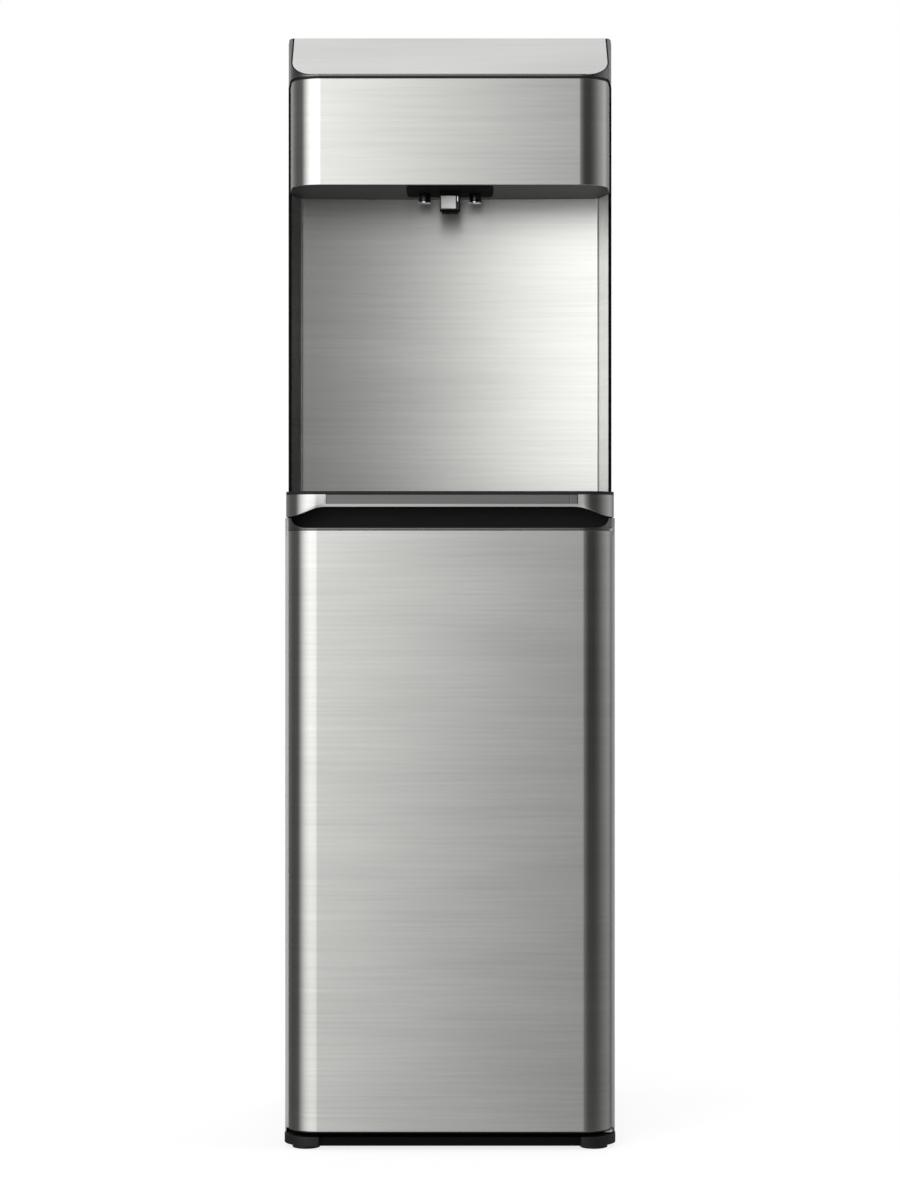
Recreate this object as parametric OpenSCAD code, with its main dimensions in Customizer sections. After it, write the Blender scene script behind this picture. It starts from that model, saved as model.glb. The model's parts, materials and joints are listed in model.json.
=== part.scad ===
// Bottleless water cooler: a free-standing cabinet with a dispensing alcove, a drip shelf,
// a filter bay behind a full-height door, and chilled and heated tanks inside.
// Millimetres. The front faces -Y and +Z is up. The origin is on the floor, in the middle of the plan.

/* [Overall] */
// Width over the side panels
cabinet_w = 310; // [296:1:340]
// Height from the floor to the top cover
overall_h = 1050; // [1035:1:1080]
// Depth from the door face to the back of the condenser
overall_d = 370; // [362:1:400]
// Radius of the upright front corners, seen from above
corner_r = 28.5; // [24:0.5:29]

/* [Levels] */
// Thickness of a foot pad under the base
foot_pad_h = 3.3; // [2.5:0.1:6]
// Height of the base moulding
base_h = 8.7; // [8:0.1:14]
// Gap between the base and the door
door_gap = 4.3; // [3:0.1:8]
// Height of the grate's top above the floor
shelf_h = 613.4; // [600:0.1:630]
// Height of the head's front panel
head_panel_h = 100.5; // [90:0.1:104]
// Dark gap between the head's front panel and the sloping fascia
shadow_gap = 1.9; // [1.5:0.1:4]
// Height that the sloping fascia rises over
fascia_rise = 43.8; // [36:0.1:50]

/* [Depths] */
// Thickness of the door
door_t = 29; // [29:0.5:34]
// Gap between the door's back and the cabinet
door_back_gap = 2; // [1.5:0.1:4]
// How far the shelf's front lies behind the door face
shelf_setback = 2; // [1:0.5:6]
// How far the head's front lies behind the door face
head_setback = 26; // [20:1:30]
// Depth of the alcove, from the head's front
alcove_depth = 98; // [90:1:104]
// How far the alcove's back wall bows backwards in the middle
alcove_bow = 5.5; // [0:0.5:8]
// How far the upper side panels start behind the head's front
cheek_depth = 64; // [58:1:70]
// Space behind the rear panel for the condenser
condenser_space = 23.8; // [22:0.1:30]
// Depth of the filter bay behind the door
bay_depth = 134; // [128:1:138]

/* [Sheets and walls] */
// Thickness of the side and rear sheets
sheet_t = 1.2; // [0.8:0.1:1.5]
// Thickness of the brushed steel skins
skin_t = 0.9; // [0.6:0.1:1.2]
// Wall of the plastic mouldings
wall_t = 2.5; // [2:0.1:3]
// Clearance between fixed pieces
fit_gap = 0.3; // [0.2:0.05:0.4]

/* [Shelf and drip tray] */
// Thickness of the shelf deck
deck_t = 3.1; // [2.8:0.1:5]
// Height of the bright band in front of the shelf
band_h = 8.6; // [8:0.1:12]
// Height of the bevelled lip under the band
lip_h = 2.8; // [2:0.1:4]
// Height of the finger recess between the shelf and the door
recess_h = 19.5; // [18:0.5:24]
// Depth of the finger recess behind the band
recess_depth = 43; // [34:1:50]
// Width of the drip tray's body
tray_w = 218; // [190:1:226]
// Depth of the drip tray, front to back
tray_d = 104; // [90:1:110]
// Width of the grate
grate_w = 223; // [200:1:230]
// Front-to-back size of the grate
grate_d = 90; // [80:1:94]
// Thickness of the grate
grate_t = 2.1; // [1.8:0.1:2.4]
// Number of slots across the grate
slot_count = 10; // [6:1:11]

/* [Head and nozzles] */
// Front-to-back run of the sloping fascia
slope_run = 56; // [48:1:58]
// Bright border between the fascia and the side of the head
fascia_border = 4.6; // [4:0.1:8]
// Width of the black nozzle plate
nozzle_plate_w = 82; // [78:1:96]
// Front-to-back size of the nozzle plate
nozzle_plate_d = 78; // [72:1:80]
// Distance of each side nozzle from the middle
nozzle_x = 24.2; // [22:0.1:28]
// Outer diameter of a side nozzle
nozzle_d = 11.2; // [10:0.1:13]
// Length of a side nozzle below the plate
nozzle_len = 9; // [7:0.1:12]
// Width of the square centre spout
spout_w = 19.5; // [16:0.1:22]
// Height of the bright sleeve on the centre spout
sleeve_h = 13.6; // [10:0.1:16]

/* [Door hinge] */
// Distance of the hinge pin's axis in from the cabinet's side
hinge_inset = 7; // [6:0.5:9]
// Radius of a hinge pin
pin_r = 2; // [1.5:0.1:2.5]
// Radial running clearance of pins and studs
run_gap = 0.06; // [0.03:0.01:0.1]

/* [Tanks and filters] */
// Radius of the chilled tank
cold_r = 60; // [54:1:64]
// Height of the chilled tank
cold_h = 190; // [160:1:210]
// Radius of the heated tank
hot_r = 40; // [34:1:43]
// Height of the heated tank
hot_h = 140; // [110:1:160]
// Thickness of the foam round the chilled tank
foam_t = 20; // [16:1:22]
// Radius of a filter cartridge
filter_r = 31; // [26:1:33]
// Length of a filter cartridge
filter_len = 290; // [240:1:320]

/* [Refrigeration] */
// Outer radius of the compressor
compressor_r = 58; // [50:1:62]
// Height of the compressor can
compressor_h = 140; // [120:1:170]
// Outer radius of the condenser tube
tube_r = 2.5; // [2:0.1:3]
// Number of runs of the condenser tube
run_count = 14; // [8:2:16]
// Height of the lowest condenser run
condenser_z = 180; // [160:5:200]
// Spacing of the condenser runs
run_pitch = 50; // [44:1:52]
// Half the width of the condenser
condenser_half_w = 100; // [80:1:104]

/* [Rear connections] */
// Outer diameter of the supply tube that the inlet takes
supply_tube_d = 6.35; // [6:0.05:8]
// Height of the water inlet
inlet_h = 150; // [140:1:180]
// Number of the condenser run just under the drain outlet
drain_run = 8; // [7:1:9]
// Distance of the two rear switches below the top
switch_drop = 110; // [80:1:150]
// Radius of the cord gland's bore
cord_r = 4; // [3:0.1:5]

/* [Hidden] */
$fn = 48;

steel_color = "silver";
dark_color = [0.1, 0.1, 0.11];
eps = 0.05;

// Levels
base_top = foot_pad_h + base_h;
door_z = base_top + door_gap;
deck_z = shelf_h - deck_t;
band_z = deck_z - band_h;
lip_z = band_z - lip_h;
door_top = lip_z - recess_h;
cap_h = 2.8;
door_panel_z = door_z + 1.2;
door_panel_top = door_top - cap_h;
horn_h = 9.5;
swoop_h = 9;
mid_deck_top = door_panel_top + fit_gap;
mid_deck_z = mid_deck_top - 2;
deck_fold = 14;
liner_top = mid_deck_z - deck_fold - 1;
slope_step = 1.8;
slope_z = overall_h - fascia_rise;
fascia_z = slope_z - slope_step;
head_top = fascia_z - shadow_gap;
head_z = head_top - head_panel_h;
cover_skirt_h = 6;
side_top = overall_h - cover_skirt_h - fit_gap;

// Places from front to back
front_y = -overall_d / 2;
rear_y = overall_d / 2;
door_back = front_y + door_t;
case_y = door_back + door_back_gap;
band_y = front_y + shelf_setback;
head_y = front_y + head_setback;
cheek_y = head_y + cheek_depth;
wall_y = head_y + alcove_depth;
recess_y = band_y + recess_depth;
trim_t = 4;
upper_side_y = cheek_y + trim_t;
rear_panel_y = rear_y - condenser_space - sheet_t;
rear_face_y = rear_panel_y + sheet_t;
bay_back_y = case_y + bay_depth;

// Half widths
half_w = cabinet_w / 2;
side_in = half_w - sheet_t;
inner_w = side_in - fit_gap;
base_half_w = half_w + 0.5;
door_half_w = half_w - 3;
band_half_w = half_w - 1;
head_half_w = half_w - 1.6;
head_flare = 5.5;
alcove_mouth = half_w - 2.8;
alcove_back = half_w - 11.2;
alcove_fillet = 6;

// Sloping fascia
slope_y = head_y + 2;
slope_a = atan2(fascia_rise, slope_run);
slope_len = norm([fascia_rise, slope_run]);
fascia_t = 1;
fascia_corner_u = 19;
fascia_corner_v = 24;
board_half_w = 60;
board_low = 16;
board_high = 52;
board_t = 1.6;
ledge_h = 4.4;
ledge_w = 4;

// Shelf
swoop_in = half_w - 39;
swoop_out = half_w - 3;
tray_left = -115.6;
tray_right = 119.2;
tray_h = band_h - 1;
tray_wall = 2;
tray_floor_t = 1.5;
tray_fillet = 3;
tray_groove_x = 111.3;

// Door
horn_in = half_w - 21;
horn_out = half_w - 6.5;
hinge_x = half_w - hinge_inset;
hinge_y = door_back - 6;
boss_r = pin_r + 2.4;
hinge_arm_t = 2;
pin_len = 8;
catch_w = 40;

// Nozzles
nozzle_y = head_y + 61;
nozzle_rim = 1.2;
nozzle_bore_r = 3;
spout_y = head_y + 50;
neck_h = 4.2;
plate_drop = 0.6;
plate_y = head_y + 8;
plate_flange_t = 2;
barb_h = 14;
barb_top = head_z - plate_drop - run_gap + barb_h;
valve_x = nozzle_x + 12;
valve_y = head_y + 24;
valve_seat = head_z + wall_t + plate_flange_t + 2 * run_gap;
valve_h = 46;
valve_body_h = 22;
valve_d = 20;
water_tube_r = 3.2;
riser_x = half_w - 20;

// Feet
foot_r = 13;
foot_x = half_w - 20.5;
foot_front_y = front_y + 20;
foot_rear_y = rear_face_y - 20;
stud_r = 4;
stud_h = base_h - 2.5;

// Tanks
jacket_t = 4;
jacket_margin = 20;
cold_foam_r = cold_r + jacket_t + 2 * fit_gap + foam_t;
hot_foam_t = foam_t - 10;
hot_band_t = 3;
hot_band_h = 45;
hot_foam_r = hot_r + hot_band_t + 2 * fit_gap + hot_foam_t;
tank_gap = 6.4;
tank_y = (wall_y + rear_panel_y) / 2;
cold_x = -half_w + cold_foam_r + tank_gap;
hot_x = half_w - hot_foam_r - tank_gap;
tank_z = mid_deck_top + foam_t;
cold_top = tank_z + cold_h + foam_t;
tank_wall = 1.2;
tank_neck_r = 7;
tank_neck_h = 6;
foam_lid_gap = 0.4;

// Filters
filter_gap = 22;
filter_x = filter_r + filter_gap / 2;
filter_wall_gap = 12;
filter_y = bay_back_y - filter_wall_gap - filter_r;
manifold_drop = 110;
manifold_margin = 20;
manifold_plate_t = 5;
manifold_z = mid_deck_z - manifold_drop;
head_block_h = 36;
neck_r = filter_r * 0.55;
neck_len = 14;
filter_top = manifold_z - 2;
riser_y = bay_back_y - 18;
valve_rise = 60;
valve_z = inlet_h + valve_rise;

// Refrigeration
compressor_y = (bay_back_y + rear_panel_y) / 2;
mount_h = 12;
mount_x = 62;
mount_y = 42;
plate_t = 3;
compressor_z = base_top + mount_h;
wire_r = 0.8;
weld = 0.3;
coil_y = rear_y - 2 * wire_r - tube_r + weld;
condenser_top_z = condenser_z + (run_count - 1) * run_pitch;
wire_count = 25;
strap_x = condenser_half_w - 18;
tail_y = rear_panel_y - 14;
suction_x = -half_w + 20;
suction_r = cold_foam_r + tube_r + 2;
suction_y = tank_y + sqrt(pow(suction_r, 2) - pow(cold_x - suction_x, 2));
can_side_z = compressor_z + compressor_h - 50;
drier_r = 9;
drier_len = 36;

// Rear connections
inlet_x = -half_w + 45;
drain_x = condenser_half_w + 10;
drain_h = condenser_z + (drain_run + 0.5) * run_pitch;
switch_h = overall_h - switch_drop;
switch_x = 26;
gland_x = -half_w + 35;
gland_h = 60;
rocker_r = 9;
rocker_w = 12;
rocker_len = 20;
rocker_tilt = 8;
screw_r = 1.5;
screw_x = side_in - 8;
screw_low = base_top + 48;
screw_high = side_top - 24;
screw_levels = [for (i = [0:3]) screw_low + i * (screw_high - screw_low) / 3];

// Points of an arc about c, from angle a0 to a1
function arc(c, r, a0, a1, n = 12) =
    [for (i = [0:n]) let (a = a0 + (a1 - a0) * i / n) c + r * [cos(a), sin(a)]];

// Plan outline with round front corners: half width h at the back edge yb, front face at yf.
// Where the back edge cuts the corner arc, the outline ends on the arc.
function front_outline(h, yf, yb, r, flare = 0) =
    let (run = yb - (yf + r - r * sin(flare)))
    let (full = run > 0, stop = full ? flare : asin((yf + r - yb) / r))
    let (cx = h - (full ? run * tan(flare) : 0) - r * cos(flare))
    concat(
        full ? [[-h, yb]] : [],
        arc([-cx, yf + r], r, 180 + stop, 270),
        arc([cx, yf + r], r, 270, 360 - stop),
        full ? [[h, yb]] : []);

// Plan outline of the alcove with its bowed back, grown outwards by t
function alcove_outline(t) =
    let (xo = alcove_mouth + t, xi = alcove_back + t, yb = wall_y + t)
    let (lean = atan2(xo - xi, yb - cheek_y), r = alcove_fillet - t)
    let (cx = xi + r * tan(lean) - r / cos(lean), turn = atan2(2 * alcove_bow, cx))
    let (ex = cx + r * sin(turn), ey = yb - r + r * cos(turn))
    concat(
        [[xo, cheek_y]],
        arc([cx, yb - r], r, lean, 90 - turn),
        [for (i = [1:15]) let (x = ex * (1 - i / 8)) [x, ey + alcove_bow * (1 - pow(x / ex, 2))]],
        arc([-cx, yb - r], r, 90 + turn, 180 - lean),
        [[-xo, cheek_y]]);

// Outline of the sloping fascia in its own plane, with long lower corners
function fascia_outline(inset) =
    let (h = half_w - fascia_border - inset, u = fascia_corner_u, v = fascia_corner_v)
    concat(
        [for (i = [0:12]) let (a = 180 + 90 * i / 12) [-h + u + u * cos(a), inset + v + v * sin(a)]],
        [for (i = [0:12]) let (a = 270 + 90 * i / 12) [h - u + u * cos(a), inset + v + v * sin(a)]],
        [[h, slope_len - 1 - inset], [-h, slope_len - 1 - inset]]);

// A block from its low corner to its high corner
module span(low, high) {
    translate(low) cube(high - low);
}

// An upright prism of a plan outline between two levels
module prism(points, z0, z1) {
    translate([0, 0, z0]) linear_extrude(z1 - z0) polygon(points);
}

// A shape drawn as seen from the front, [x, z], between two depths
module front_prism(points, y0, y1) {
    translate([0, y1, 0]) rotate([90, 0, 0]) linear_extrude(y1 - y0) polygon(points);
}

// A shape drawn as seen from the side, [y, z], centred on x = 0
module side_prism(points, w) {
    rotate([90, 0, 90]) linear_extrude(w, center = true) polygon(points);
}

// An open-backed skin that follows a plan outline
module front_skin(h, yf, yb, r, t, z0, z1, flare = 0) {
    difference() {
        prism(front_outline(h, yf, yb, r, flare), z0, z1);
        prism(front_outline(h - t, yf + t, yb + 1, r - t, flare), z0 - 1, z1 + 1);
    }
}

// A round bar between two points
module rod(a, b, r) {
    d = b - a;
    len = norm(d);
    translate(a) rotate([0, acos(d[2] / len), atan2(d[1], d[0])]) cylinder(h = len, r = r, $fn = 24);
}

// A tube run through a list of points, with an elbow at each inner point
module pipe(points, r) {
    for (i = [0:len(points) - 2]) rod(points[i], points[i + 1], r);
    for (i = [1:len(points) - 2]) translate(points[i]) sphere(r * 1.2, $fn = 24);
}

// The points of a path without those that repeat the one before
function path(points) =
    [for (i = [0:len(points) - 1]) if (i == 0 || norm(points[i] - points[i - 1]) > eps) points[i]];

// Copies a shape to the left and the right
module both_sides() {
    children();
    mirror([1, 0, 0]) children();
}

module on_slope() {
    translate([0, slope_y, slope_z]) rotate([slope_a, 0, 0]) children();
}

// Base moulding, hollow underneath, with a boss for each foot and a toe recess in front
module base_pan() {
    rim = 5;
    toe_w = half_w - 43;
    toe_r = 10;
    color(dark_color) difference() {
        union() {
            difference() {
                prism(front_outline(base_half_w, band_y, rear_face_y, corner_r), foot_pad_h, base_top);
                prism(front_outline(base_half_w - rim, band_y + rim + toe_r, rear_face_y - rim,
                    corner_r - rim), foot_pad_h - 1, base_top - 3);
            }
            for (x = [-foot_x, foot_x], y = [foot_front_y, foot_rear_y])
                translate([x, y, foot_pad_h]) cylinder(h = base_h - 1, r = stud_r + 5);
        }
        for (x = [-foot_x, foot_x], y = [foot_front_y, foot_rear_y])
            translate([x, y, foot_pad_h - 1]) cylinder(h = stud_h + 1.5, r = stud_r + run_gap);
        span([-toe_w, band_y - 1, foot_pad_h - 1], [toe_w, band_y + toe_r, base_top + 1]);
        both_sides() translate([toe_w, band_y, foot_pad_h - 1]) cylinder(h = base_h + 2, r = toe_r);
    }
}

// Levelling foot: a round pad on a stud that screws into the base
module foot(x, y) {
    color(dark_color) translate([x, y, 0]) {
        rotate_extrude() polygon([[0, 0], [foot_r - 1, 0], [foot_r, 1], [foot_r, foot_pad_h - 0.9],
            [foot_r - 0.7, foot_pad_h - 0.2], [0, foot_pad_h - 0.2]]);
        cylinder(h = foot_pad_h + stud_h, r = stud_r);
    }
}

// Side panel: full-height sheet, deeper below the shelf, with a folded flange front and back
module side_panel() {
    flange = 12;
    step_z = lip_z - swoop_h - 2 * fit_gap;
    color(steel_color) {
        translate([side_in + sheet_t / 2, 0, 0]) side_prism([[case_y, base_top], [case_y, step_z],
            [upper_side_y, step_z], [upper_side_y, side_top],
            [rear_face_y, side_top], [rear_face_y, base_top]], sheet_t);
        span([side_in - flange, case_y, base_top + 4], [side_in, case_y + sheet_t, mid_deck_z - 2]);
        span([side_in - flange, rear_panel_y - sheet_t - fit_gap, base_top + 4],
            [side_in, rear_panel_y - fit_gap, side_top - 4]);
    }
}

module left_side_panel() {
    mirror([1, 0, 0]) side_panel();
}

module right_side_panel() {
    side_panel();
}

// Rear sheet with louvre slots and holes for what passes through it
module rear_panel() {
    slot_w = 60;
    color(steel_color) difference() {
        span([-inner_w, rear_panel_y, base_top + fit_gap], [inner_w, rear_face_y, side_top]);
        both_sides() for (i = [0:5])
            translate([30, 0, base_top + 30 + 14 * i])
                span([0, rear_panel_y - 1, 0], [slot_w, rear_face_y + 1, 6]);
        rear_hole(inlet_x, inlet_h, 8 + fit_gap);
        rear_hole(drain_x, drain_h, 8 + fit_gap);
        rear_hole(gland_x, gland_h, 8 + fit_gap);
        for (x = [-condenser_half_w, condenser_half_w]) {
            rear_hole(x, condenser_z, tube_r + 3);
            rear_hole(x, condenser_top_z, tube_r + 3);
        }
        for (x = [-switch_x, switch_x])
            translate([x, 0, switch_h])
                span([-rocker_w / 2 - 2.5, rear_panel_y - 1, -rocker_len / 2 - 2.5],
                    [rocker_w / 2 + 2.5, rear_face_y + 1, rocker_len / 2 + 2.5]);
        for (x = [-screw_x, screw_x], z = screw_levels) rear_hole(x, z, screw_r + 0.3);
    }
}

module rear_hole(x, z, r) {
    translate([x, rear_panel_y - 1, z]) rotate([-90, 0, 0]) cylinder(h = sheet_t + 2, r = r);
}

// Black strips that close the front edges of the upper side panels
module edge_trims() {
    color(dark_color) both_sides()
        span([head_half_w, cheek_y, lip_z - swoop_h], [half_w, upper_side_y, fascia_z - fit_gap]);
}

// Deck that closes the filter bay and carries the tanks and the shelf
module mid_deck() {
    rear = rear_panel_y - sheet_t - 3 * fit_gap;
    color(steel_color) {
        difference() {
            span([-inner_w, case_y, mid_deck_z], [inner_w, rear, mid_deck_top]);
            translate([suction_x, suction_y, mid_deck_z - 1]) cylinder(h = 4, r = 6);
            translate([riser_x, riser_y, mid_deck_z - 1]) cylinder(h = 4, r = 6);
        }
        both_sides() span([inner_w - sheet_t, case_y + 20, mid_deck_z - deck_fold],
            [inner_w, rear, mid_deck_z]);
    }
}

// Sheet behind the filters that parts the bay from the compressor
module bay_liner() {
    color(steel_color) {
        difference() {
            span([-inner_w, bay_back_y, base_top], [inner_w, bay_back_y + 1, liner_top]);
            translate([inlet_x, bay_back_y - 1, inlet_h]) rotate([-90, 0, 0]) cylinder(h = 3, r = 6);
        }
        both_sides() span([inner_w - 1, bay_back_y - deck_fold, base_top],
            [inner_w, bay_back_y, liner_top]);
        span([-inner_w, bay_back_y - deck_fold + 2, liner_top], [inner_w, bay_back_y + 1, liner_top + 1]);
    }
}

// Black inner frame of the head, seen in the shadow gap under the fascia
module head_frame() {
    inset = skin_t + fit_gap;
    color(dark_color) {
        front_skin(head_half_w - inset, head_y + inset, cheek_y, corner_r - inset, wall_t,
            head_z + wall_t + fit_gap, fascia_z, head_flare);
        both_sides() span([alcove_back - 4, cheek_y - 1, head_z + wall_t + fit_gap],
            [head_half_w - inset - 1, upper_side_y + 6, fascia_z]);
    }
}

module head_front_panel() {
    color(steel_color) front_skin(head_half_w, head_y, cheek_y - fit_gap, corner_r, skin_t,
        head_z, head_top, head_flare);
}

// Underside of the head, with the opening that takes the nozzle plate
module head_underside() {
    inset = skin_t + fit_gap;
    color([0.2, 0.2, 0.21]) difference() {
        union() {
            prism(front_outline(head_half_w - inset, head_y + inset, cheek_y, corner_r - inset, head_flare),
                head_z, head_z + wall_t);
            prism([[-head_half_w + inset, cheek_y], [head_half_w - inset, cheek_y],
                [alcove_back + 2, wall_y + alcove_bow + 4], [-alcove_back - 2, wall_y + alcove_bow + 4]],
                head_z, head_z + wall_t);
        }
        span([-nozzle_plate_w / 2 - fit_gap, plate_y - fit_gap, head_z - 1],
            [nozzle_plate_w / 2 + fit_gap, plate_y + nozzle_plate_d + fit_gap, head_z + wall_t + 1]);
    }
}

// Black nozzle plate with a flange above the underside and the centre spout's neck
module nozzle_plate() {
    top = head_z + wall_t;
    flange = 4;
    color("black") difference() {
        union() {
            span([-nozzle_plate_w / 2, plate_y, head_z - plate_drop],
                [nozzle_plate_w / 2, plate_y + nozzle_plate_d, top]);
            span([-nozzle_plate_w / 2 - flange, plate_y - flange, top],
                [nozzle_plate_w / 2 + flange, plate_y + nozzle_plate_d + flange, top + plate_flange_t]);
            translate([0, spout_y, head_z - plate_drop]) centred_block(spout_w, -neck_h, 0);
            translate([0, spout_y, head_z - plate_drop])
                centred_block(spout_w - 4, -neck_h - sleeve_h - 2, 0);
        }
        for (x = [-nozzle_x, nozzle_x]) translate([x, nozzle_y, head_z - 5])
            cylinder(h = 20, r = nozzle_d / 2 - 1.2 + run_gap);
        translate([0, spout_y, head_z - 40]) cylinder(h = 60, r = nozzle_bore_r);
    }
}

// A square block about the axis, between two levels
module centred_block(w, z0, z1) {
    span([-w / 2, -w / 2, z0], [w / 2, w / 2, z1]);
}

// Side nozzle: a black tube with a flared bright rim and a barb above the plate
module nozzle(x) {
    r = nozzle_d / 2;
    top = head_z - plate_drop - run_gap;
    low = top - nozzle_len;
    color(dark_color) translate([x, nozzle_y, 0]) rotate_extrude() polygon([
        [nozzle_bore_r, low], [r + 0.6, low], [r + 0.6, low + nozzle_rim], [r, low + 2 * nozzle_rim],
        [r, top], [r - 1.2, top], [r - 1.2, top + barb_h], [nozzle_bore_r, top + barb_h]]);
}

module hot_nozzle() {
    nozzle(-nozzle_x);
}

module cold_nozzle() {
    nozzle(nozzle_x);
}

// Bright square sleeve on the centre spout
module spout_sleeve() {
    color(steel_color) translate([0, spout_y, head_z - plate_drop - neck_h - run_gap]) difference() {
        centred_block(spout_w, -sleeve_h, 0);
        centred_block(spout_w - 4 + 2 * run_gap, -sleeve_h - 1, 1);
    }
}

// Sloping steel fascia, let into the top trim
module control_fascia() {
    color(steel_color) on_slope() translate([0, 0, -fascia_t])
        linear_extrude(fascia_t) polygon(fascia_outline(fit_gap));
}

// Solid wedge of the head's top, its surfaces drawn in by an inset
module top_wedge(inset, drop) {
    back = upper_side_y - fit_gap + drop;
    difference() {
        prism(front_outline(half_w - inset, slope_y + inset, back, corner_r - inset, head_flare),
            fascia_z - drop, overall_h - inset);
        on_slope() span([-cabinet_w, -cabinet_w, -inset], [cabinet_w, cabinet_w, cabinet_w]);
    }
}

// Dark border that carries the fascia
module top_trim() {
    color([0.3, 0.3, 0.31]) difference() {
        top_wedge(0, 0);
        top_wedge(wall_t + fascia_t, 1);
        on_slope() translate([0, 0, -fascia_t - 0.1])
            linear_extrude(fascia_t + 1) polygon(fascia_outline(0));
    }
}

// Flat lid behind the fascia, with a skirt over the side panels
module top_cover() {
    color(dark_color) difference() {
        span([-half_w, upper_side_y, overall_h - cover_skirt_h], [half_w, rear_face_y, overall_h]);
        span([-half_w + wall_t, upper_side_y + wall_t, overall_h - cover_skirt_h - 1],
            [half_w - wall_t, rear_face_y - wall_t, overall_h - wall_t]);
    }
}

// Touch-sensing board under the fascia, on two ledges
module touch_board() {
    seat = -wall_t - fascia_t - 2 * run_gap;
    color("darkgreen") on_slope() {
        span([-board_half_w, board_low, seat - ledge_h - board_t],
            [board_half_w, board_high, seat - ledge_h]);
        both_sides() span([board_half_w - 2 * ledge_w, board_low + 2, seat - ledge_h],
            [board_half_w - ledge_w, board_high - 2, seat]);
    }
}

// Three solenoid valves that open the outlets
module dispense_valves() {
    color("ivory") for (x = [-valve_x, 0, valve_x]) translate([x, valve_y, valve_seat]) {
        centred_block(valve_d, 0, valve_body_h);
        cylinder(h = valve_h, r = valve_d / 2 - 1);
    }
}

// Bent steel sheet that lines the alcove
module alcove_liner() {
    color(steel_color) difference() {
        prism(alcove_outline(skin_t), shelf_h, head_z - fit_gap);
        prism(alcove_outline(0), shelf_h - 1, head_z + 1);
        span([-half_w, cheek_y - 5, shelf_h - 1], [half_w, cheek_y + eps, head_z + 1]);
    }
}

// The curve that the band's lower edge follows, dropping towards both sides
function swoop_edge() = [for (i = [0:12]) let (t = i / 12)
    [swoop_in + (swoop_out - swoop_in) * t, lip_z - swoop_h * (1 - cos(180 * t)) / 2]];

// Shelf moulding: deck, slot for the drip tray, and the back of the finger recess
module shelf_housing() {
    back = wall_y + alcove_bow + 3;
    inset = sheet_t + fit_gap;
    slot_half_w = tray_w / 2 + 0.6;
    grate_y = band_y + 10;
    color(dark_color) difference() {
        union() {
            prism(front_outline(band_half_w, band_y, cheek_y - 1, corner_r), deck_z, shelf_h);
            span([-alcove_mouth, cheek_y - 2, deck_z], [alcove_mouth, back, shelf_h]);
            prism(front_outline(band_half_w - inset, band_y + inset, cheek_y - 1, corner_r - inset),
                lip_z, deck_z);
            span([-alcove_mouth, recess_y, mid_deck_top], [alcove_mouth, back, deck_z]);
        }
        span([-slot_half_w, band_y - 1, band_z + 0.2],
            [slot_half_w, band_y + inset + tray_d + 1, deck_z - eps]);
        span([-grate_w / 2 - 0.5, grate_y - 0.5, shelf_h - grate_t - 0.2],
            [grate_w / 2 + 0.5, grate_y + grate_d + 0.5, shelf_h + 1]);
        span([-grate_w / 2 + 4, grate_y + 4, deck_z - 1],
            [grate_w / 2 - 4, grate_y + grate_d - 4, shelf_h]);
        span([-alcove_mouth + wall_t, recess_y + wall_t, mid_deck_top - 1],
            [alcove_mouth - wall_t, back + 1, lip_z - wall_t]);
    }
}

// Bright band round the shelf's front, with a lip below and swooping ends
module shelf_band() {
    cut = concat([[-swoop_in, lip_z]],
        [for (p = swoop_edge()) [-p[0], p[1]]],
        [[-swoop_out, lip_z - swoop_h - 1], [swoop_out, lip_z - swoop_h - 1]],
        [for (i = [12:-1:0]) swoop_edge()[i]]);
    color(steel_color) difference() {
        front_skin(band_half_w, band_y, cheek_y - fit_gap, corner_r, sheet_t, lip_z - swoop_h, deck_z);
        front_prism(cut, band_y - 5, cheek_y);
        span([tray_left, band_y - 1, band_z], [tray_right, band_y + sheet_t + 1, deck_z + 1]);
    }
}

// Section through the tray's well, with round lower corners
function well(low, high, floor_z) = concat(
    [[low, shelf_h]],
    arc([low + tray_fillet, floor_z + tray_fillet], tray_fillet, 180, 270, 4),
    arc([high - tray_fillet, floor_z + tray_fillet], tray_fillet, 270, 360, 4),
    [[high, shelf_h]]);

// Shallow tray that slides out of the shelf
module drip_tray() {
    y0 = band_y + sheet_t + 2 * run_gap;
    y1 = y0 + tray_d;
    z0 = band_z + 0.5;
    floor_z = z0 + tray_floor_t;
    inner_half_w = tray_w / 2 - tray_wall;
    color(dark_color) difference() {
        span([-tray_w / 2, y0, z0], [tray_w / 2, y1, z0 + tray_h]);
        intersection() {
            side_prism(well(y0 + tray_wall, y1 - tray_wall, floor_z), tray_w);
            front_prism(well(-inner_half_w, inner_half_w, floor_z), y0, y1);
        }
    }
}

// Bright front strip of the tray, with a fine upright groove near its right end
module tray_fascia() {
    color(steel_color) difference() {
        span([tray_left + 0.5, band_y, band_z + fit_gap],
            [tray_right - 0.5, band_y + sheet_t, deck_z - fit_gap]);
        span([tray_groove_x, band_y - 1, band_z], [tray_groove_x + 0.5, band_y + 0.4, deck_z]);
    }
}

// Slotted grate let into the shelf deck
module drip_grate() {
    y0 = band_y + 10;
    pitch = (grate_d - 8) / slot_count;
    color(dark_color) difference() {
        span([-grate_w / 2, y0, shelf_h - grate_t], [grate_w / 2, y0 + grate_d, shelf_h]);
        for (i = [0:slot_count - 1], s = [-1, 1])
            span([s < 0 ? -grate_w / 2 + 8 : 3, y0 + 4 + pitch * (i + 0.25), shelf_h - grate_t - 1],
                [s < 0 ? -3 : grate_w / 2 - 8, y0 + 4 + pitch * (i + 0.75), shelf_h + 1]);
    }
}

// Brushed steel skin of the door
module door_panel() {
    color(steel_color) front_skin(door_half_w, front_y, door_back, corner_r, skin_t,
        door_panel_z, door_panel_top);
}

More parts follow.
